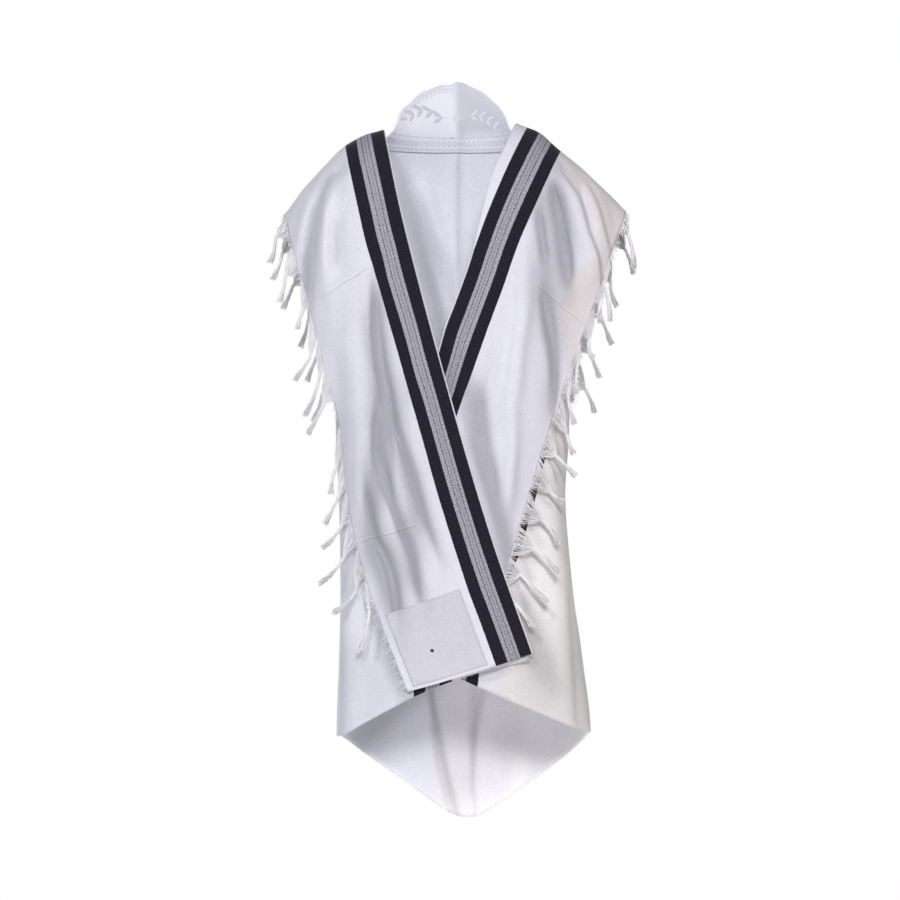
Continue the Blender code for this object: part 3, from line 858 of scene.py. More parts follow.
@dataclass(frozen=True)
class WoolFinish:
    """Fine white wool with a woven band of black, grey melange and black."""

    name: str = "banded_wool"
    cool_white: Colour = (0.755, 0.757, 0.845, 1.0)
    # The white under painted warm light.
    warm_lit_white: Colour = (0.775, 0.728, 0.725, 1.0)
    black: Colour = (0.0015, 0.0012, 0.0045, 1.0)
    black_nap: Colour = (0.024, 0.021, 0.037, 1.0)
    grey_light: Colour = (0.500, 0.495, 0.565, 1.0)
    grey_dark: Colour = (0.085, 0.082, 0.110, 1.0)
    inner_black: float = 0.0207
    grey_width: float = 0.0238
    outer_black: float = 0.0195
    pinlines: tuple[float, ...] = (0.255, 0.475, 0.690)
    pinline_depth: tuple[float, ...] = (1.0, 0.50, 1.0)
    pinline_width: float = 0.0018
    melange: float = 0.68           # how strongly the two greys differ
    edge_softness: float = 0.0005
    painted_shading_strength: float = 0.42            # how much the painted shade darkens the colour at full share
    one_face: bool = True           # paint the shade only on the faces towards the front: seen from behind, a dip is a ridge
    crease_painted_highlight: float = 0.10      # painted highlight: how much lighter the upper side of a pressed line is
    # painted shade: how much darker the lower side of a pressed line is
    crease_painted_shade: float = 0.17
    crease_half: float = 0.0016

    @property
    def band_width(self) -> float:
        """Width of the whole band."""
        return self.inner_black + self.grey_width + self.outer_black

    def _between(self, sheet: NodeSheet, across, start: float, end: float) -> NodeSocket:
        """Mask of the threads between two distances across.

        Args:
            sheet: The material's node sheet.
            across: Socket with the distance across.
            start: Where the threads begin.
            end: Where they end.

        Returns:
            A socket that is 1 on those threads.
        """
        soft = self.edge_softness
        rise = sheet.ramp(across, start - soft, start + soft)
        fall = sheet.ramp(across, end - soft, end + soft, 1.0, 0.0)
        return sheet.math("MULTIPLY", rise, fall)

    def material(self, effects: SharedEffects, banded: bool = True) -> Material:
        """Make the material.

        Args:
            effects: The shared node groups.
            banded: Whether the cloth carries the band.

        Returns:
            The material, which reads the cloth's own UV map.
        """
        material, sheet, shader = new_material(self.name)
        chart = sheet.add("ShaderNodeUVMap", uv_map=CLOTH_UV).outputs[0]
        across = sheet.axis(chart, 0)
        weave = sheet.group(effects.weave, {"Chart": chart})
        place = sheet.add("ShaderNodeTexCoord").outputs["Object"]
        # Painted warm light blends the cool white towards a creamy one.
        tint = sheet.tint(PAINTED_WARM_LIGHT)
        cloudy = sheet.noise(place, 9.0, 2.0)
        white = sheet.blend(tint, self.cool_white, self.warm_lit_white)
        threads = sheet.ramp(weave["Shade"], 0.30, 0.70, 0.972, 1.020)
        cloud = sheet.ramp(cloudy, 0.3, 0.7, 0.965, 1.015)
        felt = sheet.ramp(sheet.noise(place, 340.0, 3.0), 0.30, 0.70, 0.945, 1.030)
        # Painted shade: the point attribute darkens the colour.
        painted_shading = sheet.tint(PAINTED_SHADING)
        if self.one_face:
            facing = sheet.add("ShaderNodeNewGeometry").outputs["Normal"]
            backward = sheet.axis(facing, 1)
            painted_shading = sheet.math("MULTIPLY", painted_shading, sheet.ramp(backward, -0.30, 0.0, 1.0, 0.0))
        uneven = sheet.math("MULTIPLY", threads, sheet.math("MULTIPLY", felt, cloud))
        uneven = sheet.math("MULTIPLY", uneven, sheet.ramp(painted_shading, 0.0, 1.0, 1.0, 1.0 - self.painted_shading_strength))
        colour = sheet.scaled(white, uneven)
        if banded:
            colour = self._banded(sheet, effects, chart, across, colour)
        colour = sheet.scaled(colour, self._pressed(sheet, effects, place))
        sheet.fill(shader, {
            "Base Color": colour, "Normal": sheet.relief(weave["Height"], 0.30, 0.00022),
            "Roughness": sheet.ramp(weave["Shade"], 0.0, 1.0, 0.80, 0.92),
            "Sheen Weight": 0.07, "Sheen Roughness": 0.55, "Specular IOR Level": 0.16})
        return material

    def _pressed(self, sheet: NodeSheet, effects: SharedEffects, place) -> NodeSocket:
        """Paint highlight and shade on the thin lines along the pressed creases.

        Args:
            sheet: The material's node sheet.
            effects: The shared node groups.
            place: Socket with the cloth's places.

        Returns:
            A socket with a factor near 1.
        """
        total = 1.0
        for line in PRESSED_LINES:
            start = (line.start_x, 0.0, line.start_z)
            end = (line.end_x, 0.0, line.end_z)
            inputs = {"Place": place, "Start": start, "End": end, "Half Width": self.crease_half}
            mark = sheet.group(effects.pressed_line_shading, inputs)
            light = sheet.math("MULTIPLY", mark["Upper"], self.crease_painted_highlight)
            dark = sheet.math("MULTIPLY", mark["Lower"], -self.crease_painted_shade)
            total = sheet.math("ADD", total, sheet.math("ADD", light, dark))
        return total

    def _banded(self, sheet: NodeSheet, effects: SharedEffects, chart, across, white):
        """Weave the band into the white.

        Args:
            sheet: The material's node sheet.
            effects: The shared node groups.
            chart: Socket with the cloth's chart.
            across: Socket with the distance across.
            white: Socket with the plain cloth's colour.

        Returns:
            A socket with the colour of the whole cloth.
        """
        wobble = sheet.noise(sheet.vector("MULTIPLY", chart, (40.0, 260.0, 1.0)), 1.0, 1.0)
        across = sheet.math("MULTIPLY_ADD", sheet.math("SUBTRACT", wobble, 0.5), 0.0010, across)
        grey_start, grey_end = self.inner_black, self.inner_black + self.grey_width
        band_end = self.band_width
        flecks = sheet.group(effects.flecks, {"Chart": chart})
        grey = sheet.blend(flecks["Mask"], self.grey_light, self.grey_dark)
        grey = sheet.blend(self.melange, self.grey_light, grey)
        bead = {"Chart": chart, "Fleck Width": 0.004, "Fleck Length": 0.0022}
        beads = sheet.group(effects.flecks, bead)
        for share, depth in zip(self.pinlines, self.pinline_depth):
            middle = grey_start + share * self.grey_width
            half = self.pinline_width / 2.0
            line = self._between(sheet, across, middle - half, middle + half)
            broken = sheet.ramp(beads["Mask"], 0.0, 1.0, 0.45 * depth, depth)
            grey = sheet.blend(sheet.math("MULTIPLY", line, broken), grey, self.grey_dark)
        nap = sheet.group(effects.flecks, {"Chart": chart, "Fleck Width": 0.0016, "Sharpness": 0.22})
        black = sheet.blend(nap["Mask"], self.black, self.black_nap)
        in_band = self._between(sheet, across, 0.0, band_end)
        in_grey = self._between(sheet, across, grey_start, grey_end)
        return sheet.blend(in_band, white, sheet.blend(in_grey, black, grey))


@dataclass(frozen=True)
class SatinFinish:
    """Smooth white satin, or the duller face of its woven figures."""

    name: str = "satin"
    # How much the painted shade darkens; a negative value brightens instead: painted highlight.
    painted_shading_strength: float = 0.27
    colour: Colour = (0.900, 0.902, 0.985, 1.0)
    roughness: float = 0.38
    sheen: float = 0.05
    thread: float = 0.0006

    def material(self, effects: SharedEffects) -> Material:
        """Make the material.

        Args:
            effects: The shared node groups.

        Returns:
            The material, which reads the cloth's own UV map.
        """
        material, sheet, shader = new_material(self.name)
        chart = sheet.add("ShaderNodeUVMap", uv_map=CLOTH_UV).outputs[0]
        long_threads = sheet.vector("MULTIPLY", chart, (1.0, 0.18, 1.0))
        weave = sheet.group(effects.weave, {"Chart": long_threads, "Pitch": self.thread, "Slub": 0.5})
        threads = sheet.ramp(weave["Shade"], 0.3, 0.7, 0.975, 1.02)
        # Painted shade from the point attribute; with a negative strength it is a painted highlight.
        painted_shading = sheet.tint(PAINTED_SHADING)
        shaded = sheet.math("MULTIPLY", threads, sheet.ramp(painted_shading, 0.0, 1.0, 1.0, 1.0 - self.painted_shading_strength))
        rough = sheet.ramp(weave["Shade"], 0.0, 1.0, self.roughness - 0.05, self.roughness + 0.08)
        sheet.fill(shader, {
            "Base Color": sheet.scaled(self.colour[:3], shaded), "Roughness": rough,
            "Normal": sheet.relief(weave["Height"], 0.3, 0.00015),
            "Sheen Weight": self.sheen, "Specular IOR Level": 0.45})
        return material


@dataclass(frozen=True)
class YarnFinish:
    """Soft wool yarn."""

    name: str = "yarn"
    colour: Colour = (0.900, 0.890, 0.905, 1.0)
    shadow: Colour = (0.840, 0.825, 0.850, 1.0)
    roughness: float = 0.9

    def material(self) -> Material:
        """Make the material.

        Returns:
            The material, on the piece's own coordinates.
        """
        material, sheet, shader = new_material(self.name)
        place = sheet.add("ShaderNodeTexCoord").outputs["Object"]
        fibres = sheet.noise(place, 900.0, 2.0)
        patches = sheet.noise(place, 60.0, 2.0)
        share = sheet.ramp(sheet.math("ADD", fibres, sheet.math("MULTIPLY", patches, 0.5)), 0.45, 0.95)
        sheet.fill(shader, {
            "Base Color": sheet.blend(share, self.shadow, self.colour), "Roughness": self.roughness,
            "Normal": sheet.relief(fibres, 0.5, 0.0003), "Sheen Weight": 0.2, "Specular IOR Level": 0.2})
        return material


@dataclass
class Finishes:
    """All the materials, built once."""

    effects: SharedEffects = field(default_factory=SharedEffects)

    def __post_init__(self) -> None:
        """Build each material."""
        wool = WoolFinish()
        self.band_width = wool.band_width
        self.banded = wool.material(self.effects)
        # The cape's wool has lighter whites than the ends' wool: painted light.
        self.inner = WoolFinish(
            name="cape_wool_painted_lighter", cool_white=(0.880, 0.882, 0.965, 1.0), warm_lit_white=(0.890, 0.858, 0.845, 1.0)
        ).material(self.effects)
        self.plain = WoolFinish(name="plain_wool", one_face=False).material(self.effects, banded=False)
        self.satin = SatinFinish().material(self.effects)
        # A negative strength makes the figures' painted shading a painted highlight.
        self.figure = SatinFinish(
            name="satin_figure", colour=(0.655, 0.657, 0.745, 1.0), roughness=0.50, sheen=0.1,
            painted_shading_strength=-0.24,
        ).material(self.effects)
        self.yarn = YarnFinish().material()
        self.thread = YarnFinish(
            name="sewing_thread", colour=(0.74, 0.74, 0.80, 1.0), shadow=(0.60, 0.60, 0.66, 1.0)
        ).material()
        self.dark_thread = YarnFinish(
            name="eyelet_thread", colour=(0.05, 0.05, 0.06, 1.0), shadow=(0.02, 0.02, 0.03, 1.0)
        ).material()


# ---- geometry node trees ----


class GeometryTool:
    """A Geometry Nodes tree with named inputs that turns lines into finished meshes."""

    def __init__(self, name: str, inputs: dict[str, float | str]) -> None:
        """Start the tree.

        Args:
            name: Name of the tree.
            inputs: For each named input its default, or its kind of socket.
        """
        self.tree = bpy.data.node_groups.new(name, "GeometryNodeTree")
        face = self.tree.interface
        face.new_socket("Geometry", in_out="INPUT", socket_type="NodeSocketGeometry")
        add_inputs(self.tree, inputs)
        face.new_socket("Geometry", in_out="OUTPUT", socket_type="NodeSocketGeometry")
        self.sheet = NodeSheet(self.tree)
        self.given = self.sheet.add("NodeGroupInput")
        self.result = self.sheet.add("NodeGroupOutput")

    def attribute(self, name: str, kind: str = "FLOAT") -> NodeSocket:
        """Read a named attribute of the lines."""
        node = self.sheet.add("GeometryNodeInputNamedAttribute", {0: name}, data_type=kind)
        return node.outputs[0]

    def random(self, low, high, seed, identity=None) -> NodeSocket:
        """Add a Random Value node for numbers.

        Args:
            low: Least value.
            high: Largest value.
            seed: Its seed.
            identity: What each value belongs to, if not the point.

        Returns:
            The value.
        """
        node = self.sheet.add("FunctionNodeRandomValue", data_type="FLOAT")
        self.sheet.set(node.inputs["Min_001" if "Min_001" in node.inputs else 2], low)
        self.sheet.set(node.inputs[3], high)
        self.sheet.set(node.inputs["Seed"], seed)
        if identity is not None:
            self.sheet.set(node.inputs["ID"], identity)
        return node.outputs[1]

    def points_along(self, spacing: NodeSocket) -> Node:
        """Set points along the lines.

        Args:
            spacing: Distance from one to the next.

        Returns:
            The node.
        """
        curve = self.sheet.add("GeometryNodeMeshToCurve", {"Mesh": self.given.outputs["Geometry"]})
        inputs = {"Curve": curve.outputs[0], "Length": spacing}
        return self.sheet.add("GeometryNodeCurveToPoints", inputs, mode="LENGTH")

    def instances(self, points: NodeSocket, thing: NodeSocket, turn: NodeSocket, size: NodeSocket) -> None:
        """Set a turned and sized thing on each point, and end the tree.

        Args:
            points: The points.
            thing: What stands on each.
            turn: Its rotation.
            size: Its scale.
        """
        inputs = {"Points": points, "Instance": thing, "Rotation": turn, "Scale": size}
        self.close(self.sheet.add("GeometryNodeInstanceOnPoints", inputs).outputs[0])

    def close(self, geometry: NodeSocket) -> None:
        """End the tree in Realize Instances and Set Material.

        Args:
            geometry: What the tree has made.
        """
        smooth = self.sheet.add("GeometryNodeSetShadeSmooth", {"Geometry": geometry})
        real = self.sheet.add("GeometryNodeRealizeInstances", {"Geometry": smooth.outputs[0]})
        dressed = self.sheet.add(
            "GeometryNodeSetMaterial",
            {"Geometry": real.outputs[0], "Material": self.given.outputs["Material"]},
        )
        self.sheet.set(self.result.inputs[0], dressed.outputs[0])

    def apply(self, name: str, lines: Mesh, values: dict[str, object]) -> Object:
        """Run the tree on a mesh of lines.

        Args:
            name: Name of the finished object.
            lines: The lines that the tree follows.
            values: Values of the named inputs.

        Returns:
            A plain mesh object.
        """
        host = add_object(name + "_lines", lines)
        modifier = host.modifiers.new("tool", "NODES")
        modifier.node_group = self.tree
        for item in self.tree.interface.items_tree:
            if item.item_type == "SOCKET" and item.in_out == "INPUT" and item.name in values:
                modifier[item.identifier] = values[item.name]
        evaluated = host.evaluated_get(bpy.context.evaluated_depsgraph_get())
        mesh = bpy.data.meshes.new_from_object(evaluated)
        mesh.name = name
        host.modifiers.remove(modifier)
        bpy.data.objects.remove(host, do_unlink=True)
        return add_object(name, mesh)


class StrandTool(GeometryTool):
    """Lays yarns round each line: one alone, some twisted to a cord, or many in a loose tuft."""

    def __init__(self) -> None:
        """Build the tree."""
        super().__init__(
            "yarn_strands",
            {
                "Yarns": 3,
                "Yarn Radius": 0.001,
                "Sides": 5,
                "Start Spread": 0.001,
                "End Spread": 0.001,
                "Turns per Metre": 90.0,
                "Looseness": 0.0,
                "Wander": 0.0,
                "Ragged": 0.0,
                "Seed": 1,
                "Material": "NodeSocketMaterial",
            },
        )
        sheet, given = self.sheet, self.given.outputs
        curve = sheet.add("GeometryNodeMeshToCurve", {"Mesh": given["Geometry"]})
        copies = sheet.add(
            "GeometryNodeDuplicateElements",
            {"Geometry": curve.outputs[0], "Amount": given["Yarns"]},
            domain="SPLINE",
        )
        index = sheet.add("GeometryNodeInputIndex").outputs[0]
        own = sheet.add("GeometryNodeFieldOnDomain", domain="CURVE", data_type="INT")
        sheet.set(own.inputs[0], index)
        spline = own.outputs[0]
        run = self.attribute(RUN)
        share = sheet.add("GeometryNodeSplineParameter").outputs[0]
        place = sheet.math("DIVIDE", copies.outputs[1], given["Yarns"])
        stray = self.random(-0.5, 0.5, given["Seed"], spline)
        turns = sheet.math("MULTIPLY_ADD", run, given["Turns per Metre"], place)
        turns = sheet.math("MULTIPLY_ADD", stray, given["Looseness"], turns)
        angle = sheet.math("MULTIPLY", turns, 2.0 * math.pi)
        seed = sheet.math("ADD", given["Seed"], 17.0)
        inner = sheet.math("SQRT", self.random(0.0, 1.0, seed, spline))
        loose = sheet.math("MULTIPLY", sheet.math("SUBTRACT", inner, 1.0), given["Looseness"])
        filled = sheet.math("ADD", 1.0, loose)
        widening = sheet.math("SUBTRACT", given["End Spread"], given["Start Spread"])
        spread = sheet.math("MULTIPLY_ADD", widening, share, given["Start Spread"])
        radius = sheet.math("MULTIPLY", spread, filled)
        axis = sheet.add("GeometryNodeInputTangent").outputs[0]
        normal = sheet.add("GeometryNodeInputNormal").outputs[0]
        turned = sheet.add(
            "ShaderNodeVectorRotate",
            {"Vector": normal, "Axis": axis, "Angle": angle},
            rotation_type="AXIS_ANGLE",
        )
        aside = sheet.scaled(turned.outputs[0], radius)
        position = sheet.add("GeometryNodeInputPosition").outputs[0]
        shift = sheet.add("ShaderNodeCombineXYZ", {0: sheet.math("MULTIPLY", stray, 40.0)})
        where = sheet.vector("ADD", sheet.scaled(position, 90.0), shift.outputs[0])
        swirl = sheet.add("ShaderNodeTexNoise", {"Vector": where, "Scale": 1.0, "Detail": 1.0})
        centred = sheet.vector("SUBTRACT", swirl.outputs[1], (0.5, 0.5, 0.5))
        amount = sheet.math("MULTIPLY", given["Wander"], share)
        wander = sheet.scaled(centred, amount)
        moved = sheet.add(
            "GeometryNodeSetPosition",
            {"Geometry": copies.outputs[0], "Offset": sheet.vector("ADD", aside, wander)},
        )
        cut = self.random(0.0, 1.0, sheet.math("ADD", given["Seed"], 31.0), index)
        trim = sheet.add("GeometryNodeTrimCurve", mode="FACTOR")
        sheet.set(trim.inputs["Curve"], moved.outputs[0])
        kept = sheet.math("MULTIPLY_ADD", sheet.math("MULTIPLY", cut, -1.0), given["Ragged"], 1.0)
        sheet.set([socket for socket in trim.inputs if socket.name == "End"][0], kept)
        ring = sheet.add(
            "GeometryNodeCurvePrimitiveCircle",
            {"Resolution": given["Sides"], "Radius": given["Yarn Radius"]},
        )
        tube = sheet.add(
            "GeometryNodeCurveToMesh",
            {
                "Curve": trim.outputs[0],
                "Profile Curve": ring.outputs[0],
                "Scale": self.attribute(GIRTH),
                "Fill Caps": True,
            },
        )
        self.close(tube.outputs[0])


class StitchTool(GeometryTool):
    """Lays a row of stitches along each line."""

    def __init__(self) -> None:
        """Build the tree."""
        super().__init__(
            "stitch_row",
            {
                "Pitch": 0.0028,
                "Stitch Length": 0.0021,
                "Thread Width": 0.0006,
                "Material": "NodeSocketMaterial",
            },
        )
        sheet, given = self.sheet, self.given.outputs
        points = self.points_along(given["Pitch"]).outputs
        bead = sheet.add("GeometryNodeMeshUVSphere", {"Segments": 6, "Rings": 5, "Radius": 0.5})
        width, length = given["Thread Width"], given["Stitch Length"]
        size = sheet.add("ShaderNodeCombineXYZ", {0: width, 1: width, 2: length})
        self.instances(points["Points"], bead.outputs["Mesh"], points["Rotation"], size.outputs[0])


class HairTool(GeometryTool):
    """Sets short loose hairs along each line, as on a raw edge."""

    def __init__(self) -> None:
        """Build the tree."""
        super().__init__(
            "edge_hairs",
            {
                "Spacing": 0.0025,
                "Hair Length": 0.004,
                "Hair Radius": 0.00022,
                "Scatter": 0.8,
                "Seed": 3,
                "Material": "NodeSocketMaterial",
            },
        )
        sheet, given = self.sheet, self.given.outputs
        points = self.points_along(given["Spacing"]).outputs
        low = sheet.math("MULTIPLY", given["Scatter"], -1.0)
        parts = [
            self.random(low, given["Scatter"], sheet.math("ADD", given["Seed"], float(step)))
            for step in range(3)
        ]
        stray = sheet.add("ShaderNodeCombineXYZ", dict(enumerate(parts)))
        heading = sheet.vector("ADD", self.attribute(OUTWARD, "FLOAT_VECTOR"), stray.outputs[0])
        turn = sheet.add("FunctionNodeAlignRotationToVector", {"Vector": heading}, axis="Z")
        hair = sheet.add(
            "GeometryNodeMeshCone",
            {
                "Vertices": 3,
                "Side Segments": 1,
                "Fill Segments": 1,
                "Radius Top": sheet.math("MULTIPLY", given["Hair Radius"], 0.3),
                "Radius Bottom": given["Hair Radius"],
                "Depth": given["Hair Length"],
            },
        )
        seed = sheet.math("ADD", given["Seed"], 9.0)
        size = sheet.add("ShaderNodeCombineXYZ", {0: 1.0, 1: 1.0})
        sheet.set(size.inputs[2], self.random(0.25, 1.0, seed))
        self.instances(points["Points"], hair.outputs["Mesh"], turn.outputs[0], size.outputs[0])


@dataclass
class Toolbox:
    """The geometry tools, built once."""

    strands: StrandTool = field(default_factory=StrandTool)
    stitches: StitchTool = field(default_factory=StitchTool)
    hairs: HairTool = field(default_factory=HairTool)


# ---- the stretch of cloth round the body ----


@dataclass
class Cape:
    """The cloth round the body, in one piece from fold to fold, with its standing collar."""

    form: Form
    wall: float = 0.0016
    hem_back: float = -1.222
    hem_turn: float = 0.16
    hem_middle: float = 0.07
    hem_side: dict[Side, float] = field(default_factory=lambda: {Side.LEFT: -1.052, Side.RIGHT: -1.044})
    hem_fold: dict[Side, float] = field(default_factory=lambda: {Side.LEFT: -0.908, Side.RIGHT: -0.866})
    hem_bow: dict[Side, float] = field(default_factory=lambda: {Side.LEFT: 0.024, Side.RIGHT: 0.0})
    front_top: float = -0.016
    neck_foot: float = -0.012
    overlap_side: float = 0.5
    side_fade: float = 0.35         # sine of the angle from the side over which folds come in
    back_columns: int = 150
    front_columns: int = 58
    rows: int = 128
    row_crowding: float = 1.15
    second_band: float = 0.135      # distance of the second band from the fold
    second_shift: float = 0.028     # further off on the right, above its foot
    second_foot: float = -0.90
    second_rise: float = 0.26
    second_clear: float = 0.25      # keeps the band off the back
    rim_shares: tuple[float, ...] = (0.0, 0.15, 0.30, 0.45, 0.60, 0.75, 0.88, 1.0)
    rim_left: tuple[float, ...] = (0.108, 0.107, 0.105, 0.100, 0.091, 0.075, 0.054, 0.003)
    rim_right: tuple[float, ...] = (0.108, 0.106, 0.101, 0.092, 0.081, 0.064, 0.043, 0.003)
    rim_peak: float = 0.004         # the middle crease stands a little above the rim
    rim_peak_angle: float = -0.03
    rim_peak_reach: float = 0.07
    rim_ripple: float = 0.0012
    rim_ripple_rate: float = 17.0
    back_marks: tuple[Fold | Crease, ...] = (
        Fold(((0.090, -0.004), (-0.242, -0.004), (-0.620, -0.002)), 0.011, -0.0060, 0.5, 1.3),
        Fold(((0.090, 0.014), (-0.242, 0.012), (-0.500, 0.012)), 0.010, 0.0030),
        Fold(((-0.084, -0.092), (-0.147, -0.068), (-0.206, -0.044), (-0.300, -0.006)),
             0.020, 0.014, -0.2, 1.9),
        Fold(((-0.070, -0.058), (-0.147, -0.036), (-0.206, -0.010)), 0.014, -0.008),
        Fold(((-0.020, -0.050), (-0.110, -0.028)), 0.010, 0.0025),
        Fold(((-0.150, 0.062), (-0.420, 0.040), (-0.640, 0.036)), 0.024, 0.005),
        Fold(((-0.450, -0.120), (-1.200, -0.135)), 0.040, 0.007),
        Fold(((-0.450, 0.120), (-1.200, 0.140)), 0.040, 0.007),
        Fold(((-0.420, -0.060), (-0.700, -0.052), (-0.980, -0.062)), 0.020, 0.0045),
        Fold(((-0.520, 0.068), (-0.800, 0.080), (-1.020, 0.078)), 0.018, 0.005),
        Fold(((-0.700, -0.165), (-1.080, -0.172)), 0.016, 0.004),
        Fold(((-0.640, 0.172), (-1.080, 0.186)), 0.018, 0.005),
        Fold(((-1.060, 0.108), (-1.190, 0.098)), 0.018, -0.005),
        Crease(-0.210, -0.560, 0.210, -0.545, height=0.0014),
    )
    front_marks: dict[Side, tuple[Fold | Crease, ...]] = field(
        default_factory=lambda: {
            Side.LEFT: (
                Fold(((-0.700, -0.176), (-1.060, -0.182)), 0.020, 0.0035),
                Fold(((-0.800, -0.135), (-1.040, -0.150)), 0.016, -0.003),
                Fold(((-0.900, -0.100), (-1.010, -0.104)), 0.012, 0.003),
            ),
            Side.RIGHT: (
                Fold(((-0.560, 0.150), (-0.760, 0.168), (-1.040, 0.186)), 0.022, 0.009),
                Fold(((-0.640, 0.124), (-0.990, 0.142)), 0.018, -0.006),
                Fold(((-0.800, 0.196), (-1.040, 0.212)), 0.012, -0.005),
                Fold(((-0.860, 0.078), (-0.980, 0.094)), 0.018, 0.005),
            ),
        }
    )
    # Painted shade inside the back: the left end's shadow in the opening, the dark side of the middle
    # crease, and shadows and dark lines near the hem.
    back_painted_shade: tuple[Fold, ...] = (
        shade(0.62, 0.020, (-0.080, -0.100), (-0.160, -0.073), (-0.230, -0.053), (-0.298, -0.036),
              (-0.420, -0.026)),
        shade(0.35, 0.006, (0.080, 0.0015), (-0.263, -0.0006)),
        shade(0.68, 0.036, (-0.940, -0.040), (-1.000, -0.105), (-1.040, -0.145), (-1.100, -0.195)),
        shade(0.45, 0.008, (-0.960, -0.0560), (-1.133, -0.023), (-1.230, 0.002)),
        shade(0.35, 0.011, (-0.960, 0.0320), (-1.140, 0.029)),
        shade(0.08, 0.030, (-0.970, 0.1080), (-1.040, 0.126), (-1.120, 0.145)),
    )
    # Painted shadows beside the left end's lower edge and beyond its band's end.
    front_painted_shade: tuple[Fold, ...] = (
        shade(0.50, 0.014, (-0.800, -0.160), (-0.900, -0.118), (-1.000, -0.076)),
        shade(0.55, 0.022, (-0.790, 0.1000), (-0.870, 0.128), (-0.960, 0.160)),
    )
    front_shade: float = 0.18       # painted shade of the fronts, and what is added at their foot
    front_foot_shade: float = 0.30
    foot_shade: float = 0.22        # painted shade at the back's foot, left of the middle
    # Shares of painted warm light on the fronts and inside the back.
    front_painted_warm_light: float = 0.9
    back_painted_warm_light: float = 0.55
    free_height: float = -0.62      # below it the cloth hangs freely and is less even
    free_ramp: float = 0.25
    held_share: float = 0.35
    pleat_left: Line = ((-0.980, -0.050), (-1.092, -0.042), (-1.230, -0.012))
    pleat_right: Line = ((-0.950, 0.054), (-1.116, 0.027), (-1.230, 0.032))
    pleat_depth: float = 0.013
    pleat_edge: float = 0.007
    pleat_start: float = -0.80
    pleat_full: float = -1.02

    def rim(self, angle: Array) -> Array:
        """Height of the collar's rim at an angle from the nape.

        Args:
            angle: Angles, positive towards the right.

        Returns:
            Heights.
        """
        share = np.abs(np.sin(angle)) * self.form.reach(angle)
        left, right = Profile(self.rim_shares, self.rim_left), Profile(self.rim_shares, self.rim_right)
        peak = self.rim_peak * np.exp(-np.abs(angle - self.rim_peak_angle) / self.rim_peak_reach)
        ripple = self.rim_ripple * np.sin(angle * self.rim_ripple_rate) * ease((1.2 - np.abs(angle)) / 0.5)
        return np.where(angle < 0.0, left(share), right(share)) + peak + ripple

    def hem(self, angle: Array) -> Array:
        """Work out the height of the back's hem.

        Args:
            angle: Angles from the nape, positive towards the right.

        Returns:
            Heights.
        """
        side = np.where(angle < self.hem_middle, self.hem_side[Side.LEFT], self.hem_side[Side.RIGHT])
        stretch = 1.0 + abs(self.hem_middle) * 2.0 / math.pi
        share = np.abs(np.sin((angle - self.hem_middle) / stretch))
        turn = np.hypot(share, self.hem_turn) - self.hem_turn
        return mix(self.hem_back, side, turn / (math.hypot(1.0, self.hem_turn) - self.hem_turn))

    def pleat(self, x: Array, height: Array) -> Array:
        """Set the middle of the back in near the hem, between two slanting edges.

        Args:
            x: Places across.
            height: Heights.

        Returns:
            How far the cloth is set in.
        """
        left, right = line_of(self.pleat_left)(height), line_of(self.pleat_right)(height)
        inside = ease((x - left) / self.pleat_edge + 0.5) * ease((right - x) / self.pleat_edge + 0.5)
        start = ease((self.pleat_start - height) / (self.pleat_start - self.pleat_full))
        return self.pleat_depth * inside * start

    def back_point(self, angle: Array, height: Array, outward: float = 0.0) -> Array:
        """Points of the back.

        Args:
            angle: Angles from the nape, positive towards the right.
            height: Heights.
            outward: How far the points are moved out.

        Returns:
            Places, with one more axis of 3.
        """
        sine, cosine = np.sin(angle), np.cos(angle)
        reach = self.form.reach(angle)
        x = self.form.half_width(sine, height) * sine * reach
        y = self.form.columns["back"](height) * cosine * reach
        lift = total_relief(self.back_marks, x, height) + self.pleat(x, height)
        push = outward + lift * ease(cosine / self.side_fade)
        return np.stack([x + push * sine, y + push * cosine, height + 0.0 * x], axis=-1)

    def front_point(self, side: Side, angle: Array, height: Array) -> Array:
        """Points of one front.

        Args:
            side: Left or right.
            angle: Angles from the side towards the middle.
            height: Heights.

        Returns:
            Places, with one more axis of 3.
        """
        sign = side.value
        sine, cosine = np.sin(angle), np.cos(angle)
        reach = self.form.reach(angle)
        across = self.form.half_width(sign * np.sign(cosine), height)
        flat_x = sign * across * cosine * reach
        lift = self.form.overlap(side, flat_x, height) * ease(angle / self.overlap_side)
        x = sign * (across + lift) * cosine * reach
        marks = total_relief(self.front_marks[side], flat_x, height) * ease(sine / self.side_fade)
        y = -((self.form.columns["front"](height) + lift) * sine * reach + marks * sine)
        return np.stack([x + sign * marks * cosine, y, height + 0.0 * x], axis=-1)

    def fold_angle(self, side: Side, height: Array) -> Array:
        """Find where a front reaches its fold.

        Args:
            side: Left or right.
            height: Heights.

        Returns:
            Angles from the side.
        """
        x = self.form.folds[side](height) + side.value * self.form.fold_seam
        width = self.form.half_width(x, height) + self.form.overlap(side, x, height)
        share = side.value * x / width
        return np.arctan2(self.form.bulge(share), share)

    def back_grid(self) -> Array:
        """Grid of the back from the rim to the hem, from left to right."""
        angles = np.linspace(-math.pi / 2.0, math.pi / 2.0, self.back_columns + 1)[None, :]
        drop = np.linspace(0.0, 1.0, self.rows + 1)[:, None] ** self.row_crowding
        return self.back_point(angles + 0.0 * drop, mix(self.rim(angles), self.hem(angles), drop))

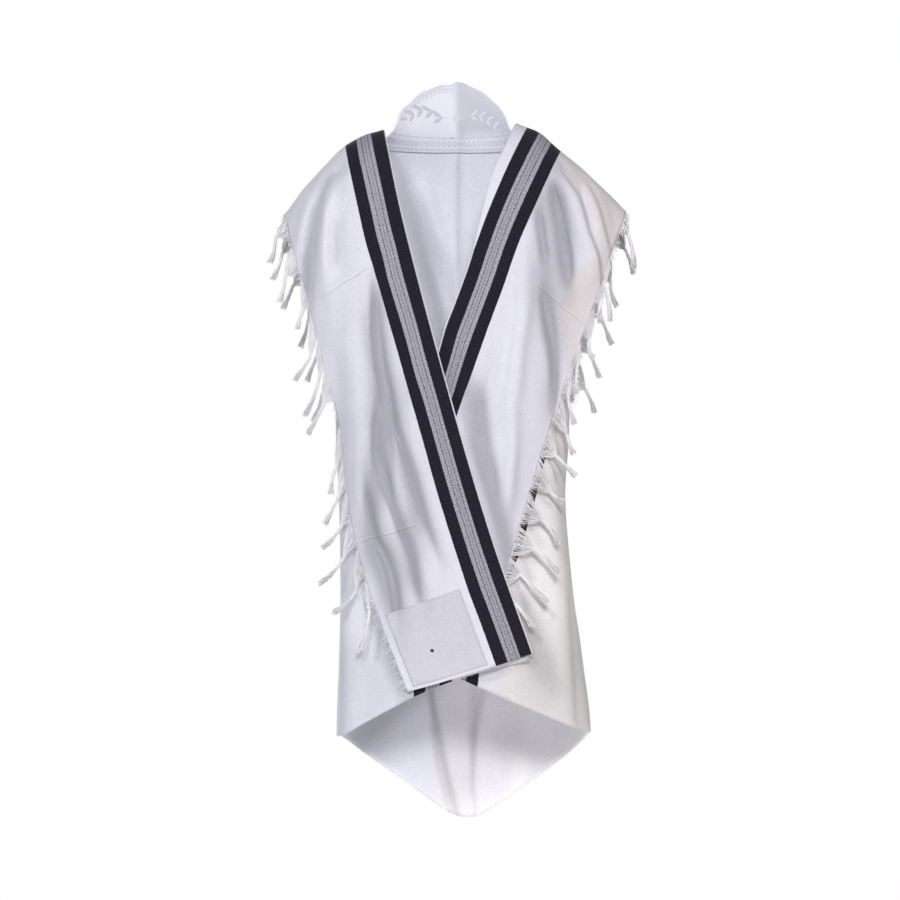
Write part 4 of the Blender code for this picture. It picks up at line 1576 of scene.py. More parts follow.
    def front_grid(self, side: Side) -> Array:
        """Grid of one front from the shoulder to the hem, from the side to the fold.

        Args:
            side: Left or right.

        Returns:
            Grid of places.
        """
        share = np.linspace(0.0, 1.0, self.front_columns + 1)[None, :]
        drop = np.linspace(0.0, 1.0, self.rows + 1)[:, None] ** self.row_crowding
        side_top = float(self.rim(np.array(side.value * math.pi / 2.0)))
        top = mix(side_top, self.front_top, ease(share / 0.3))
        hem_side, hem_fold = self.hem_side[side], self.hem_fold[side]
        start = side.value * float(self.form.half_width(np.array(side.value), np.array(hem_side)))
        fold = float(self.form.folds[side](hem_fold))
        height = mix(top, mix(hem_side, hem_fold, share), drop)
        for _ in range(6):
            angle = share * self.fold_angle(side, height)
            x = self.front_point(side, angle, height)[..., 0]
            along = np.clip((x - start) / (fold - start), 0.0, 1.0)
            hem = mix(hem_side, hem_fold, along) + self.hem_bow[side] * np.sin(np.pi * along)
            height = mix(top, hem, drop)
        return self.front_point(side, share * self.fold_angle(side, height), height)

    def grid(self) -> Array:
        """Grid of the whole cape, from the left fold round the back to the right fold."""
        left = self.front_grid(Side.LEFT)[:, ::-1]
        right = self.front_grid(Side.RIGHT)
        return np.concatenate([left[:, :-1], self.back_grid(), right[:, 1:]], axis=1)

    def chart(self, points: Array) -> Array:
        """Lay the second band at its distance from the nearer fold, and keep it off the back.

        Args:
            points: Grid of the cape.

        Returns:
            Grid of UV values in metres.
        """
        from_left, from_right = chart_of(points, 0), chart_of(points, points.shape[1] - 1)
        shift = self.second_shift * ease((points[..., 2] - self.second_foot) / self.second_rise)
        across = np.minimum(from_left[..., 0], -from_right[..., 0] - shift) - self.second_band
        across[:, self.front_columns : -self.front_columns] += self.second_clear
        return np.stack([across, from_left[..., 1]], axis=-1)

    def painted_warm_light(self, points: Array) -> Array:
        """Painted warm light on the white: more on the right half, below the shoulders.

        Args:
            points: Grid of the cape.

        Returns:
            Grid of shares.
        """
        x, y, z = points[..., 0], points[..., 1], points[..., 2]
        inner = ease((y + 0.05) / 0.15)
        low = inner * ease((-0.85 - z) / 0.10)
        painted_warm_light = ease((x - mix(0.02, -0.055, low)) / mix(0.10, 0.03, low))
        painted_warm_light = painted_warm_light * ease((0.02 - z) / 0.30)
        return np.clip(painted_warm_light * mix(self.front_painted_warm_light, self.back_painted_warm_light, inner), 0.0, 1.0)

    def painted_shading(self, points: Array) -> Array:
        """How much painted shade each point gets, beside the real shade that its relief gives.

        Args:
            points: Grid of the cape.

        Returns:
            Grid of shares.
        """
        x, y, z = points[..., 0], points[..., 1], points[..., 2]
        front = self.front_shade + self.front_foot_shade * ease((-0.80 - z) / 0.14)
        front = front + total_relief(self.front_painted_shade, x, z)
        back = self.foot_shade * ease((-0.85 - z) / 0.12) * ease((0.06 - x) / 0.06)
        back = back + total_relief(self.back_painted_shade, x, z)
        return np.clip(mix(front, back, ease((y + 0.03) / 0.03)), 0.0, 1.0)

    def build(self, finishes: Finishes, tools: Toolbox) -> list[Object]:
        """Build the cape and the raw edge of its hem.

        Args:
            finishes: The materials.
            tools: The geometry tools.

        Returns:
            The cloth and the hairs of its edge.
        """
        points = self.grid()
        free = ease((self.free_height - points[..., 2:]) / self.free_ramp)
        rough = roughen(points, normals_of(points), size=0.045, height=0.0016)
        points = mix(points, rough, mix(self.held_share, 1.0, free))
        cloth = cloth_piece(
            "cape", points, self.chart(points), self.wall, finishes.inner, self.painted_warm_light(points),
            self.painted_shading(points),
        )
        hem = points[-1]
        away = unit(points[-1] - points[-3])
        lines = line_mesh("cape_hem", [{"points": hem, OUTWARD: away}])
        values = {"Spacing": 0.0032, "Hair Length": 0.0050, "Material": finishes.yarn}
        hairs = tools.hairs.apply("hem_hairs", lines, values)
        return [cloth, hairs]


# ---- the folded ends ----


@dataclass
class FoldedEnd:
    """One end of the cloth, folded back outward over the shoulder, with its band along the fold."""

    side: Side
    form: Form
    fringe_edge: Line
    fold_back: Line
    fringe_edge_back: Line
    ridge: tuple[float, ...]
    wing: float
    wing_foot: float
    warm: float                                         # share of painted warm light on the white
    marks: tuple[Fold | Crease, ...]
    back_marks: tuple[Fold | Crease, ...]
    painted_shade_streaks: tuple[Fold, ...]                             # broad painted shade, its height being a share
    band_end: Line                          # far edge of the band
    band_start: Line = ()                   # near edge, where it leaves the fold
    painted_warm_line: Line = ()                    # beyond it there is more painted warm light
    margin: float = -0.0012         # cloth between the fold and the band, less what the turn shows
    fullness: float = 1.6           # how deep the soft folds are drawn
    shade_depth: float = 0.014      # a trough this deep is fully shaded
    patch_top: float = 0.145        # a dip this deep gets the full painted shade
    patch_blend: float = 0.05
    wall: float = 0.0016
    ridge_shares: tuple[float, ...] = (0.0, 0.20, 0.38, 0.60, 0.80, 1.0)
    crest_drop: float = 0.120
    crest_arc: float = 0.185
    crest_growth: float = 0.45
    ridge_fade: float = 0.220
    wing_top: float = -0.110
    wing_low: float = -0.620
    wing_front: float = 0.124
    wing_back: float = 0.128
    wing_blend: float = 0.010
    crossing_fade: float = 0.05
    edge_fade: float = 0.25
    painted_warm_beyond: float = 0.75       # how much more painted warm light there is beyond that line
    painted_warm_ramp: float = 0.022
    crease_fade: float = 0.04
    deepest: float = -0.001         # how far a dip may sink, and how softly it stops
    deepest_blend: float = 0.0012
    pad: float = 0.0125             # how far the loose cloth stands off, so that troughs can sink
    pad_edge: float = 0.5           # share of that at the fringed edge
    columns: int = 84
    front_rows: int = 250
    back_rows: int = 120
    turn_steps: int = 10

    def __post_init__(self) -> None:
        """Turn the tables into curves."""
        folds = self.form.fold_left if self.side is Side.LEFT else self.form.fold_right
        self.inner = {Face.FRONT: folds, Face.BACK: self.fold_back}
        self.outer = {Face.FRONT: self.fringe_edge, Face.BACK: self.fringe_edge_back}
        self.swell = Profile(self.ridge_shares, self.ridge)

    def crest(self, arc: Array) -> tuple[Array, Array]:
        """Drop below the ridge, and turn in radians, after a length of cloth from the ridge."""
        turn = np.minimum(1.0, arc / self.crest_arc) * math.pi / 2.0
        return self.crest_drop * (1.0 - np.cos(turn)) + np.maximum(0.0, arc - self.crest_arc), turn

    def length(self, edge: Line) -> float:
        """Length of cloth along an edge, from the ridge to the end."""
        return edge[0][0] - edge[-1][0] - self.crest_drop + self.crest_arc

    def surface(self, face: Face, arc: Array, share: Array) -> Array:
        """Points of the folded end.

        Args:
            face: Front or back.
            arc: Lengths from the ridge, along the fold.
            share: Shares across, from the fold to the fringed edge.

        Returns:
            Places, with one more axis of 3.
        """
        inner, outer = self.inner[face], self.outer[face]
        places = []
        for edge in (inner, outer):
            drop, _ = self.crest(arc * self.length(edge) / self.length(inner))
            height = edge[0][0] - drop
            places.append((line_of(edge)(height), height))
        x = mix(places[0][0], places[1][0], share)
        drop, turn = self.crest(arc)
        height = mix(places[0][1], places[1][1], share)
        height = height + self.swell(share) * ease(1.0 - drop / self.ridge_fade)
        lie = ease((self.wing_top - height) / (self.wing_top - self.wing_low))
        front = face is Face.FRONT
        spread = mix(self.wing, self.wing_foot, lie) if front else self.wing
        below = self.form.layer + (self.form.overlap(self.side, x, height) if front else 0.0)
        body = self.form.depth(x, height, face, below * ease(turn / self.crest_growth))
        far = self.wing_front if front else self.wing_back
        wing = far * self.form.bulge(np.minimum(1.0, np.abs(x) / spread)) * np.sin(turn)
        blend = np.hypot(body - wing, self.wing_blend * np.sin(turn))
        reach = (body + wing + blend) / 2.0
        lift = self.relief(face, x, height, share) * np.sin(turn)
        return np.stack([x, face.value * (reach + lift), height + 0.0 * x], axis=-1)

    def relief(self, face: Face, x: Array, height: Array, share: Array) -> Array:
        """Height of the folds, which die out at the turned fold and where the other end crosses.

        Args:
            face: Front or back.
            x: Places across.
            height: Heights.
            share: Shares across, from the fold to the fringed edge.

        Returns:
            How far the cloth stands off the layer below.
        """
        marks = self.marks if face is Face.FRONT else self.back_marks
        loose = self.pad * mix(self.pad_edge, 1.0, ease((1.0 - share) / self.edge_fade))
        soft_marks = [mark for mark in marks if isinstance(mark, Fold)]
        creases = [mark for mark in marks if isinstance(mark, Crease)]
        folds = self.fullness * total_relief(soft_marks, x, height)
        lift = (loose + folds) * ease(share / self.edge_fade)
        lift = lift + total_relief(creases, x, height) * ease(share / self.crease_fade)
        if face is Face.FRONT and self.side is Side.RIGHT:
            lift = lift * ease((x - self.form.folds[Side.LEFT](height)) / self.crossing_fade)
        above = lift - self.deepest
        return self.deepest + (above + np.hypot(above, self.deepest_blend)) / 2.0

    def arcs(self) -> tuple[Array, Array]:
        """Lengths from the ridge of the front's rows, from the hem up, and of the back's, downward."""
        front = np.linspace(self.length(self.inner[Face.FRONT]), 0.0, self.front_rows + 1)
        back = np.linspace(0.0, self.length(self.fold_back), self.back_rows + 1)
        return front, back[1:]

    def panel(self) -> Array:
        """Grid of the end, from its front hem over the shoulder to its back hem."""
        share = np.linspace(0.0, 1.0, self.columns + 1)[None, :]
        front, back = self.arcs()
        before = self.surface(Face.FRONT, front[:, None], share)
        behind = self.surface(Face.BACK, back[:, None], share)
        return np.concatenate([before, behind])

    def turns(self) -> tuple[Array, Array]:
        """Turn over the shoulder and face sign of each row of the panel."""
        front, back = self.arcs()
        turn = np.concatenate([self.crest(front)[1], self.crest(back)[1]])
        sign = np.concatenate([-np.ones(len(front)), np.ones(len(back))])
        return turn, sign

    def band(self, whole: Array, across: Array, width: float) -> Array:
        """Lay the band between its two stated lines.

        Args:
            whole: Grid of the end with its turned fold.
            across: Distance of each of its points from the fold.
            width: Width of the woven band.

        Returns:
            Distance of each point from the band's near edge, with the cloth's draw taken out.
        """
        free = slice(self.turn_steps // 2, None)
        chart = np.array(across)
        for row in range(self.front_rows + 1):
            x, height = whole[row, free, 0], whole[row, free, 2]
            run = across[row, free]
            start = self.margin
            if self.band_start:
                start = max(start, self.crossing(self.band_start, x, height, run))
            end = self.crossing(self.band_end, x, height, run)
            chart[row] = (across[row] - start) * width / (end - start)
        behind = slice(self.front_rows + 1, None)       # the back goes on from the row at the ridge
        chart[behind] = (across[behind] - start) * width / (end - start)
        return chart

    def crossing(self, edges: Line, x: Array, height: Array, run: Array) -> float:
        """Find where one row crosses a stated line.

        Args:
            edges: The line.
            x: Places across of the row's points.
            height: Their heights.
            run: Their distances along the row.

        Returns:
            Distance along the row.
        """
        line = line_of(edges)
        return float(np.interp(0.0, (x - line(height)) * self.side.value, run))

    def turned_fold(self, panel: Array) -> Array:
        """Grid of the turned fold, from the layer below up to the panel's first column.

        Args:
            panel: Grid of the end.

        Returns:
            Grid of places.
        """
        turn, sign = self.turns()
        inward = np.stack([0.0 * turn, -np.sin(turn) * sign, -np.cos(turn)], axis=-1)
        aside = panel[:, 0] - panel[:, 1]
        aside = unit(aside - inward * np.sum(aside * inward, axis=-1, keepdims=True))
        radius = self.form.layer / 2.0
        angle = math.pi * np.arange(self.turn_steps, 0, -1) / self.turn_steps
        return (
            panel[:, None, 0]
            + aside[:, None, :] * radius * np.sin(angle)[None, :, None]
            + inward[:, None, :] * radius * (1.0 - np.cos(angle))[None, :, None]
        )

    def build(self, finishes: Finishes) -> Object:
        """Build the cloth of the end.

        Args:
            finishes: The materials.

        Returns:
            The cloth.
        """
        panel = self.panel()
        normals = normals_of(panel)
        rough = roughen(panel, normals, size=0.026, height=0.0016)
        rough = roughen(rough, normals, size=0.060, height=0.0036)
        share = np.linspace(0.0, 1.0, self.columns + 1)[None, :, None]
        self.points = mix(panel, rough, ease(share / self.edge_fade) * self.free_of_patches())
        whole = np.concatenate([self.turned_fold(self.points), self.points], axis=1)
        chart = chart_of(whole, self.turn_steps)
        chart[..., 0] = self.band(whole, chart[..., 0], finishes.band_width)
        # Painted warm light: a base share, and more beyond the stated line.
        painted_warm_light = np.full(whole.shape[:2], self.warm)
        if self.painted_warm_line:
            line = line_of(self.painted_warm_line)
            painted_warm_light += self.painted_warm_beyond * ease((whole[..., 0] - line(whole[..., 2])) / self.painted_warm_ramp)
        name = "folded_end_" + self.side.label
        return cloth_piece(
            name, whole, chart, self.wall, finishes.banded, painted_warm_light, self.painted_shading_grid(len(whole[0]))
        )

    def free_of_patches(self) -> Array:
        """For each row 0 under the corner patches, where the cloth lies smooth, and 1 well above."""
        front, back = self.length(self.inner[Face.FRONT]), self.length(self.fold_back)
        above = np.concatenate(
            [np.linspace(0.0, front, self.front_rows + 1), np.linspace(back, 0.0, self.back_rows + 1)[1:]]
        )
        return ease((above - self.patch_top) / self.patch_blend)[:, None, None]

    def painted_shading_grid(self, columns: int) -> Array:
        """Painted shade of each point of the front: more where it lies deeper in a dip, and along the
        painted shade streaks.

        Args:
            columns: Columns of the whole grid, with those of the turned fold.

        Returns:
            Grid of shares, 0 on the turned fold and on the back.
        """
        share = np.linspace(0.0, 1.0, self.columns + 1)[None, :]
        rows = slice(0, self.front_rows + 1)
        x, height = self.points[rows, :, 0], self.points[rows, :, 2]
        lift = total_relief([m for m in self.marks if isinstance(m, Fold)], x, height)
        depth = np.zeros((len(self.points), columns))
        front = np.clip(-lift / self.shade_depth, 0.0, 1.0) * ease(share / self.edge_fade)
        front = np.clip(front + total_relief(self.painted_shade_streaks, x, height), 0.0, 1.0)
        depth[rows, columns - self.columns - 1 :] = front
        return depth

    def fringed_edge(self, face: Face) -> tuple[Array, Array]:
        """Read the fringed edge from the ridge down.

        Args:
            face: Front or back.

        Returns:
            Places along the edge, and the way out of the cloth at each.
        """
        rows = slice(self.front_rows, None, -1) if face is Face.FRONT else slice(self.front_rows, None)
        edge, inside = self.points[rows, -1], self.points[rows, -5]
        return edge, unit(edge - inside)


def left_end(form: Form) -> FoldedEnd:
    """The left end, which lies on top."""
    return FoldedEnd(
        side=Side.LEFT,
        form=form,
        fringe_edge=(
            (-0.131, -0.308), (-0.307, -0.257), (-0.496, -0.211),
            (-0.650, -0.190), (-0.788, -0.152), (-0.960, -0.086),
        ),
        fold_back=((0.016, -0.133), (-0.150, -0.120), (-0.370, -0.112)),
        fringe_edge_back=(
            (-0.131, -0.308), (-0.220, -0.277), (-0.330, -0.242), (-0.465, -0.222),
        ),
        ridge=(0.000, 0.017, 0.028, 0.022, 0.012, 0.000),
        band_end=(
            (0.000, -0.2010), (-0.0588, -0.1886), (-0.1018, -0.1791), (-0.1448, -0.1695),
            (-0.1878, -0.1599), (-0.2308, -0.1472), (-0.2738, -0.1343),
            (-0.3598, -0.1097), (-0.4458, -0.0852), (-0.5318, -0.0605),
            (-0.6178, -0.0367), (-0.7038, -0.0101), (-0.7898, 0.0178),
            (-0.8328, 0.0341), (-0.9600, 0.0800),
        ),
        # Painted shade along the folds and over the lower left of the end.
        painted_shade_streaks=(
            shade(0.70, 0.017, (-0.320, -0.155), (-0.434, -0.133), (-0.510, -0.119)),
            shade(0.70, 0.017, (-0.470, -0.142), (-0.550, -0.139), (-0.620, -0.134)),
            shade(0.65, 0.017, (-0.585, -0.158), (-0.705, -0.147), (-0.790, -0.128)),
            shade(0.65, 0.015, (-0.710, -0.122), (-0.770, -0.114), (-0.850, -0.106)),
            shade(0.50, 0.016, (-0.665, -0.090), (-0.725, -0.083), (-0.790, -0.074)),
            shade(0.42, 0.018, (-0.560, -0.084), (-0.630, -0.071), (-0.705, -0.054)),
            shade(0.42, 0.014, (-0.460, -0.120), (-0.560, -0.094), (-0.650, -0.068)),
            shade(0.30, 0.052, (-0.300, -0.136), (-0.549, -0.108), (-0.900, -0.090)),
            shade(0.12, 0.018, (-0.090, -0.258), (-0.170, -0.266), (-0.270, -0.272)),
        ),
        warm=0.12,
        wing=0.322,
        wing_foot=0.222,
        marks=(
            Fold(((-0.061, -0.203), (-0.085, -0.227), (-0.120, -0.243), (-0.171, -0.251),
                  (-0.226, -0.258), (-0.300, -0.262)), 0.013, -0.011, -0.2),
            Fold(((-0.092, -0.244), (-0.140, -0.265), (-0.199, -0.279)), 0.011, 0.005),
            Fold(((-0.103, -0.222), (-0.146, -0.229), (-0.260, -0.231)), 0.011, 0.006),
            Fold(((-0.150, -0.206), (-0.235, -0.209)), 0.010, -0.005),
            Fold(((-0.268, -0.146), (-0.344, -0.142), (-0.396, -0.137), (-0.438, -0.130),
                  (-0.500, -0.118)), 0.011, -0.012, 0.3, 1.7),
            Fold(((-0.470, -0.137), (-0.532, -0.142), (-0.566, -0.139), (-0.625, -0.124)),
                 0.010, -0.008, 0.2, 1.7),
            Fold(((-0.470, -0.124), (-0.549, -0.096), (-0.600, -0.079), (-0.651, -0.062),
                  (-0.694, -0.046), (-0.750, -0.024)), 0.008, -0.007, 0.3, 1.7),
            Fold(((-0.575, -0.127), (-0.634, -0.116), (-0.685, -0.099), (-0.728, -0.081),
                  (-0.779, -0.070), (-0.820, -0.060)), 0.009, -0.008, 0.3, 1.7),
            Fold(((-0.614, -0.161), (-0.660, -0.152), (-0.702, -0.142), (-0.740, -0.123),
                  (-0.787, -0.111), (-0.840, -0.104)), 0.009, -0.010, 0.2, 1.7),
            Fold(((-0.276, -0.182), (-0.498, -0.182), (-0.668, -0.176)), 0.022, 0.005),
            Fold(((-0.500, -0.108), (-0.600, -0.104), (-0.680, -0.083)), 0.008, 0.003),
            *PRESSED_LINES[:3],
        ),
        back_marks=(
            Fold(((-0.080, -0.215), (-0.330, -0.205)), 0.022, 0.006),
            Fold(((-0.100, -0.165), (-0.220, -0.172), (-0.380, -0.160)), 0.012, -0.006),
            Fold(((-0.130, -0.250), (-0.300, -0.232)), 0.010, -0.005),
            Crease(-0.260, -0.250, -0.120, -0.235, height=0.0018),
        ),
    )


def right_end(form: Form) -> FoldedEnd:
    """The right end, which lies under the left one where they cross."""
    return FoldedEnd(
        side=Side.RIGHT,
        form=form,
        fringe_edge=(
            (-0.126, 0.296), (-0.293, 0.237), (-0.464, 0.173),
            (-0.643, 0.115), (-0.822, 0.062), (-0.915, 0.037),
        ),
        fold_back=((0.027, 0.104), (-0.150, 0.108), (-0.370, 0.112)),
        fringe_edge_back=(
            (-0.126, 0.296), (-0.220, 0.260), (-0.330, 0.226), (-0.465, 0.208),
        ),
        ridge=(0.000, 0.014, 0.011, 0.008, 0.006, 0.000),
        margin=-0.0008,
        band_start=(
            (0.040, 0.1320), (0.0033, 0.1146), (-0.0692, 0.0812), (-0.1417, 0.0506),
            (-0.2141, 0.0240), (-0.2866, -0.0034), (-0.3600, -0.0310), (-0.900, -0.240),
        ),
        band_end=(
            (0.020, 0.2020), (-0.0468, 0.1692), (-0.1190, 0.1363), (-0.1912, 0.1045),
            (-0.2635, 0.0792), (-0.3357, 0.0524), (-0.4028, 0.0285), (-0.4888, -0.0020),
            (-0.900, -0.135),
        ),
        painted_warm_line=(
            (0.0, 0.150), (-0.070, 0.176), (-0.120, 0.207), (-0.170, 0.224),
            (-0.215, 0.222), (-0.250, 0.185), (-0.300, 0.163), (-0.345, 0.168),
            (-0.450, 0.200),
        ),
        # Painted shade along the folds.
        painted_shade_streaks=(
            shade(0.50, 0.044, (-0.060, 0.144), (-0.135, 0.162), (-0.200, 0.170), (-0.310, 0.170)),
            shade(0.40, 0.012, (-0.050, 0.166), (-0.120, 0.174), (-0.200, 0.178)),
            shade(0.50, 0.014, (-0.120, 0.178), (-0.200, 0.183), (-0.275, 0.190)),
            shade(0.30, 0.014, (-0.090, 0.138), (-0.170, 0.143), (-0.260, 0.149)),
            shade(0.42, 0.022, (-0.250, 0.142), (-0.320, 0.158), (-0.400, 0.172)),
            shade(0.42, 0.010, (-0.320, 0.146), (-0.455, 0.167), (-0.590, 0.158)),
            # Painted shadow that the left end casts on this one, along its edge.
            shade(0.90, 0.020, (-0.380, -0.002), (-0.497, 0.0245), (-0.549, 0.0345), (-0.635, 0.062),
                  (-0.721, 0.083), (-0.900, 0.118)),
            shade(0.25, 0.012, (-0.360, 0.058), (-0.440, 0.046), (-0.520, 0.044)),
        ),
        warm=0.10,
        wing=0.310,
        wing_foot=0.212,
        marks=(
            Fold(((-0.080, 0.160), (-0.126, 0.171), (-0.164, 0.179), (-0.202, 0.186),
                  (-0.245, 0.190)), 0.011, -0.014, 0.0, 1.7),
            Fold(((-0.140, 0.139), (-0.182, 0.144), (-0.225, 0.149)), 0.009, -0.006),
            Fold(((-0.070, 0.174), (-0.119, 0.206), (-0.171, 0.221), (-0.215, 0.238),
                  (-0.265, 0.246)), 0.016, 0.013, 0.72),
            Fold(((-0.087, 0.213), (-0.127, 0.220), (-0.160, 0.233)), 0.007, -0.006),
            Fold(((-0.089, 0.224), (-0.126, 0.240), (-0.165, 0.252), (-0.203, 0.262)),
                 0.011, 0.008, 0.65),
            Fold(((-0.216, 0.113), (-0.293, 0.117), (-0.370, 0.108), (-0.480, 0.096)),
                 0.020, 0.008, 0.35),
            Fold(((-0.290, 0.147), (-0.345, 0.160), (-0.400, 0.167), (-0.480, 0.163)),
                 0.011, -0.009, 0.0, 1.7),
            Fold(((-0.440, 0.036), (-0.532, 0.046), (-0.620, 0.064)), 0.014, -0.007),
            Fold(((-0.470, 0.092), (-0.549, 0.095), (-0.660, 0.084)), 0.014, 0.006, 0.2),
            Fold(((-0.300, 0.088), (-0.420, 0.074), (-0.500, 0.060)), 0.010, -0.004),
            *PRESSED_LINES[3:],
        ),
        back_marks=(
            Fold(((-0.080, 0.205), (-0.330, 0.196)), 0.022, 0.006),
            Fold(((-0.110, 0.158), (-0.240, 0.166), (-0.370, 0.156)), 0.012, -0.006),
            Fold(((-0.120, 0.244), (-0.300, 0.220)), 0.010, -0.005),
            Crease(0.120, -0.240, 0.250, -0.252, height=0.0018),
        ),
    )


# ---- neckband ----


@dataclass(frozen=True)
class Leaf:
    """A woven leaf: a pointed oval with its place, heading, length and width on the neckband."""

    across: float
    up: float
    heading: float
    length: float
    width: float


@dataclass
class Neckband:
    """The satin neckband inside the collar, with its woven figures and its stitching."""

    cape: Cape
    wall: float = 0.0008
    ends: float = 76.0
    gap: float = 0.0019
    edge_gap: float = 0.0011        # the edges are sewn down closer
    columns: int = 150
    rows: int = 34
    band_rows: tuple[float, ...] = (0.006, 0.0265)      # foot and head of the lower chain band
    lozenges: int = 34
    rim_links: int = 30
    rim_chain: float = 1.02         # angle that the chain under the rim reaches on either side
    rim_gap: float = 0.0095         # from the rim to the middle of that chain
    rim_link_height: float = 0.0031
    rim_lines: tuple[float, float] = (-0.0058, 0.0050)  # the lines beside it, off its middle
    rim_line_width: float = 0.0008
    chain_share: float = 0.985      # share of the satin's width that the low chain takes
    line_steps: int = 80
    line_piece: int = 8             # steps in one flat piece of a line
    figure_lift: float = 0.00075
    girth: float = 0.098            # radius of the collar that the figures are laid out on
    shade_start: float = -0.014     # the half beyond it gets painted shade
    shade_ramp: float = 0.022
    foot_shade: float = 0.20        # share of that painted shade at the satin's foot
    foot_shade_start: float = 0.004
    foot_shade_ramp: float = 0.036
    bright_foot: float = 0.022      # figures above this height get painted highlight in the painted shade
    bright_ramp: float = 0.006

    def point(self, angle: Array, share: Array, lift: float = 0.0) -> Array:
        """Places on the inner face of the collar.

        Args:
            angle: Angles from the nape.
            share: Shares of the way up from the foot to the rim.
            lift: How far the places stand off the satin.

        Returns:
            Places, with one more axis of 3.
        """
        height = mix(self.cape.neck_foot, self.cape.rim(angle) + 0.0006, share)
        loose = ease(np.asarray(share) / 0.05) * ease((1.0 - np.asarray(share)) / 0.03)
        return self.cape.back_point(angle, height, -(mix(self.edge_gap, self.gap, loose) + lift))

    def build(self, finishes: Finishes, tools: Toolbox) -> list[Object]:
        """Build the satin, its figures and its stitches.

        Args:
            finishes: The materials.
            tools: The geometry tools.

        Returns:
            The satin, the figures and the stitches.
        """
        limit = math.radians(self.ends)
        angle = np.linspace(-limit, limit, self.columns + 1)[None, :]
        share = np.linspace(1.0, 0.0, self.rows + 1)[:, None]
        points = self.point(angle, share)
        points = roughen(points, normals_of(points), size=0.025, height=0.0007)
        across, height = points[..., 0], points[..., 2]
        # Painted shade on the right half of the satin, weaker at its foot.
        rise = mix(self.foot_shade, 1.0, ease((height - self.foot_shade_start) / self.foot_shade_ramp))
        painted_shading = ease((across - self.shade_start) / self.shade_ramp) * rise
        satin = cloth_piece("neckband", points, chart_of(points), self.wall, finishes.satin, painted_shading=painted_shading)
        rows = [self.point(angle[0], np.full(angle.shape[1], level), 0.0009) for level in (0.015, 0.975)]
        lines = line_mesh("neckband_seams", [{"points": row} for row in rows])
        stitches = tools.stitches.apply("neckband_stitches", lines, {"Material": finishes.thread})
        return [satin, self.figures(finishes), stitches]

    def figures(self, finishes: Finishes) -> Object:
        """Lay the woven figures: two chain bands, leaf sprays, a star and dots.

        Args:
            finishes: The materials.

        Returns:
            One thin mesh that follows the satin.
        """
        vertices: list[list[float]] = []
        faces: list[list[int]] = []

        def lay(outline: Array) -> None:
            """Add one flat figure.

            Args:
                outline: Pairs of angle and height above the foot.
            """
            angle, height = outline[:, 0], outline[:, 1]
            rise = self.cape.rim(angle) - self.cape.neck_foot
            places = self.point(angle, height / rise, self.figure_lift)
            start = len(vertices)
            vertices.extend(places.tolist())
            faces.append(list(range(start, start + len(places))))

        for leaf in self.leaves():
            t = np.linspace(0.0, 1.0, 7)
            half = leaf.width * np.sin(np.pi * t) ** 0.8 / 2.0
            u = np.concatenate([t * leaf.length, t[-2:0:-1] * leaf.length])
            v = np.concatenate([half, -half[-2:0:-1]])
            turn = math.radians(leaf.heading)
            across = leaf.across + u * math.cos(turn) - v * math.sin(turn)
            up = leaf.up + u * math.sin(turn) + v * math.cos(turn)
            lay(np.stack([across / self.girth, up], axis=-1))
        for outline in self.chains():
            lay(outline)
        mesh = bpy.data.meshes.new("neckband_figures")
        mesh.from_pydata(vertices, [], faces)
        layer = mesh.uv_layers.new(name=CLOTH_UV)
        for loop in mesh.loops:
            place = mesh.vertices[loop.vertex_index].co
            layer.data[loop.index].uv = (place.x, place.z)
        # Painted highlight on the figures in the shaded half, above a height.
        across, height = np.array(vertices)[:, 0], np.array(vertices)[:, 2]
        light = ease((across - self.shade_start) / self.shade_ramp)
        light = light * ease((height - self.bright_foot) / self.bright_ramp)
        tint = mesh.attributes.new(name=PAINTED_SHADING, type="FLOAT", domain="POINT")
        tint.data.foreach_set("value", light.astype(np.float32))
        mesh.materials.append(finishes.figure)
        piece = add_object("neckband_figures", mesh)
        thickness = piece.modifiers.new("thread", "SOLIDIFY")
        thickness.thickness = 0.0003
        thickness.offset = 0.0
        return piece

    def chains(self) -> list[Array]:
        """Outline the chain bands and the lines beside them.

        Returns:
            Outlines as pairs of angle and height above the foot.
        """
        limit = math.radians(self.ends) * self.chain_share
        foot, head = self.band_rows
        outlines = []
        for level, width in ((foot, 0.0011), (head, 0.0009), (foot - 0.0042, 0.0007)):
            places = np.linspace(-limit, limit, self.line_steps + 1)
            for k in range(0, self.line_steps, self.line_piece):
                outlines.append(self.strip(places[k : k + self.line_piece + 1], level, width))
        middle, half_height = (foot + head) / 2.0, (head - foot) * 0.26
        step = 2.0 * limit / self.lozenges
        for k in range(self.lozenges):
            centre = -limit + (k + 0.5) * step
            outlines.extend(self.link(centre, middle, step * 0.46, half_height))
        half = self.rim_chain / self.rim_links
        for k in range(self.rim_links):
            centre = self.rim_chain * ((2.0 * k + 1.0) / self.rim_links - 1.0)
            outlines.extend(self.link(centre, self.below_rim(centre), half * 0.9, self.rim_link_height))
            ends = centre + np.array([-1.0, 1.0]) * self.rim_chain / self.rim_links
            for offset in self.rim_lines:
                outlines.append(self.strip(ends, self.below_rim(ends) + offset, self.rim_line_width))
        return outlines

    @staticmethod
    def strip(places: Array, level: Array | float, width: float) -> Array:
        """Outline a narrow line.

        Args:
            places: Angles along it.
            level: Height of its lower edge above the foot.
            width: Its width.

        Returns:
            Pairs of angle and height, there along the lower edge and back along the upper one.
        """
        low = np.stack([places, np.broadcast_to(level, places.shape)], axis=-1)
        return np.concatenate([low, (low + (0.0, width))[::-1]])

    def below_rim(self, angle: Array | float) -> Array:
        """Height above the foot of the chain that follows the rim."""
        return self.cape.rim(np.asarray(angle)) - self.cape.neck_foot - self.rim_gap

